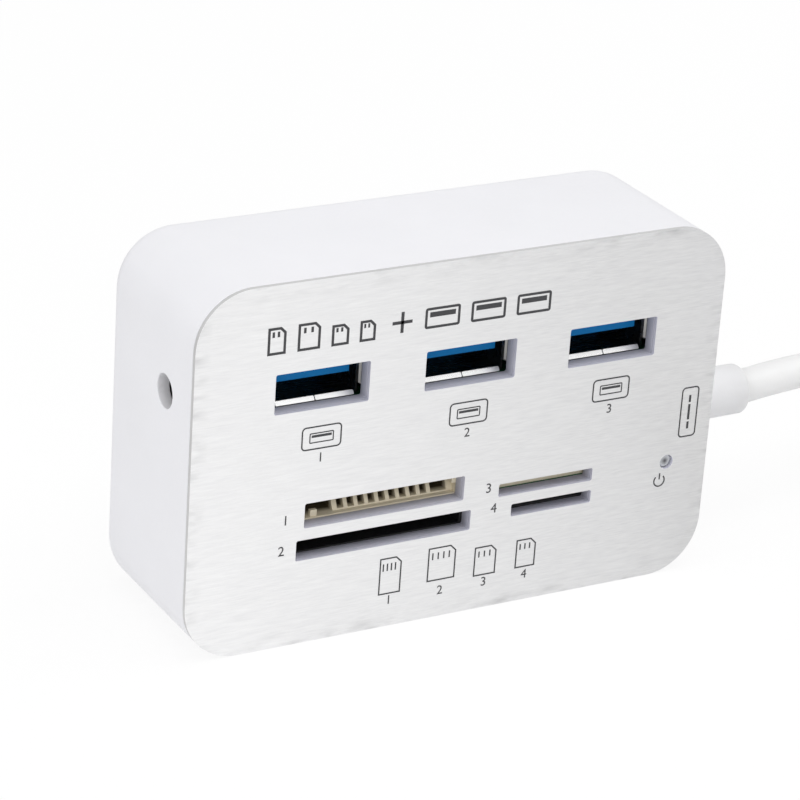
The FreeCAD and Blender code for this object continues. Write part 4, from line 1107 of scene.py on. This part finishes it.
class HUB_OT_stage(bpy.types.Operator):
    """Pale floor, soft lights, even light from all sides and the camera"""

    bl_idname = "hub.stage"
    bl_label = "Stage"

    def execute(self, context):
        self.make_floor()
        self.make_world()
        for light in LIGHTS:
            self.make_light(*light)
        self.make_camera()
        bpy.context.scene.view_settings.view_transform = "Standard"
        return {"FINISHED"}

    def make_floor(self):
        deselect_all()
        bpy.ops.mesh.primitive_plane_add(size=settings().stage.floor_side)
        floor = bpy.context.object
        floor.name = "floor"
        finish = Finish("pale_floor", (0.93, 0.93, 0.93), 0.9)
        tree = finish.tree
        path = tree.nodes.new("ShaderNodeLightPath").outputs
        seen = self.seen_rays(tree, path)
        through = computed(tree, "MAXIMUM", seen, path["Is Transmission Ray"])
        glowing = finish.spread(through, 0.0, 1.0 - settings().stage.floor_shade, 0.0, 1.0)
        glow = tree.nodes.new("ShaderNodeEmission")
        finish.link(self.floor_strength(finish, path), glow.inputs["Strength"])
        mix = tree.nodes.new("ShaderNodeMixShader")
        finish.link(glowing, mix.inputs["Fac"])
        finish.link(finish.surface.outputs["BSDF"], mix.inputs[1])
        finish.link(glow.outputs["Emission"], mix.inputs[2])
        finish.link(mix.outputs["Shader"], tree.nodes["Material Output"].inputs["Surface"])
        floor.data.materials.append(finish.material)

    def seen_rays(self, tree, path):
        """1 for what the camera sees directly or in gloss."""
        return computed(tree, "MAXIMUM", path["Is Camera Ray"], path["Is Glossy Ray"])

    def floor_strength(self, finish, path):
        """White to the camera; in reflections a painted pool of light that is brightest in a band and
        fades on both sides of it.
        """
        along = finish.step("DOT_PRODUCT", finish.place, FADE_WAY)["Value"]
        rising = finish.spread(along, *FLOOR_RISE)
        fading = finish.spread(along, *FLOOR_FADE)
        mix = finish.tree.nodes.new("ShaderNodeMix")
        mix.data_type = "FLOAT"
        finish.link(path["Is Camera Ray"], mix.inputs["Factor"])
        band = computed(finish.tree, "MINIMUM", rising, fading)
        finish.link(band, mix_socket(mix.inputs, "A_Float"))
        mix_socket(mix.inputs, "B_Float").default_value = 1.0
        return mix_socket(mix.outputs, "Result_Float")

    def make_world(self):
        world = bpy.data.worlds.new("soft_studio")
        bpy.context.scene.world = world
        world.use_nodes = True
        tree = world.node_tree
        seen = self.seen_rays(tree, tree.nodes.new("ShaderNodeLightPath").outputs)
        strength = tree.nodes.new("ShaderNodeMapRange")
        strength.inputs["To Min"].default_value = settings().stage.ambient
        strength.inputs["To Max"].default_value = settings().stage.mirrored
        tree.links.new(seen, strength.inputs["Value"])
        background = tree.nodes["Background"]
        background.inputs["Color"].default_value = (1.0, 1.0, 1.0, 1.0)
        tree.links.new(strength.outputs["Result"], background.inputs["Strength"])

    def make_light(self, name, place, aim, side, power):
        lamp = bpy.data.lights.new(name, "AREA")
        lamp.size = side
        lamp.energy = power
        holder = bpy.data.objects.new(name, lamp)
        holder.location = place
        holder.rotation_euler = (Vector(aim) - Vector(place)).to_track_quat("-Z", "Y").to_euler()
        bpy.context.collection.objects.link(holder)

    def make_camera(self):
        lens = bpy.data.cameras.new("photo_camera")
        lens.sensor_width = 36.0
        lens.lens = settings().stage.lens
        lens.clip_start = 0.01
        camera = bpy.data.objects.new("photo_camera", lens)
        camera.location = CAMERA_PLACE
        camera.rotation_euler = [math.radians(angle) for angle in CAMERA_TURN]
        bpy.context.collection.objects.link(camera)
        bpy.context.scene.camera = camera


class HUB_PT_sidebar(bpy.types.Panel):
    """Lists the hub's pieces, colours and sizes"""

    bl_idname = "HUB_PT_sidebar"
    bl_label = "Card reader hub"
    bl_space_type = "VIEW_3D"
    bl_region_type = "UI"
    bl_category = "Hub"

    def draw(self, context):
        for operator in OPERATORS:
            self.layout.operator(operator.bl_idname)
        for group in (settings().finishes, settings().details, settings().stage):
            for name in group.bl_rna.properties.keys():
                if name not in ("rna_type", "name"):
                    self.layout.prop(group, name)


OPERATORS = (
    HUB_OT_casing,
    HUB_OT_panel,
    HUB_OT_prints,
    HUB_OT_ports,
    HUB_OT_card_sockets,
    HUB_OT_insides,
    HUB_OT_cable,
    HUB_OT_stage,
)
CLASSES = (HubFinishes, HubDetails, HubStage, HubSettings, *OPERATORS, HUB_PT_sidebar)


def register():
    for item in CLASSES:
        bpy.utils.register_class(item)
    bpy.types.Scene.hub_settings = bpy.props.PointerProperty(type=HubSettings)


def unregister():
    del bpy.types.Scene.hub_settings
    for item in reversed(CLASSES):
        bpy.utils.unregister_class(item)


def main():
    register()
    deselect_all()
    bpy.ops.hub.casing()
    bpy.ops.hub.panel()
    bpy.ops.hub.prints()
    bpy.ops.hub.ports()
    bpy.ops.hub.card_sockets()
    bpy.ops.hub.insides()
    bpy.ops.hub.cable()
    bpy.ops.hub.stage()


if __name__ == "__main__":
    main()
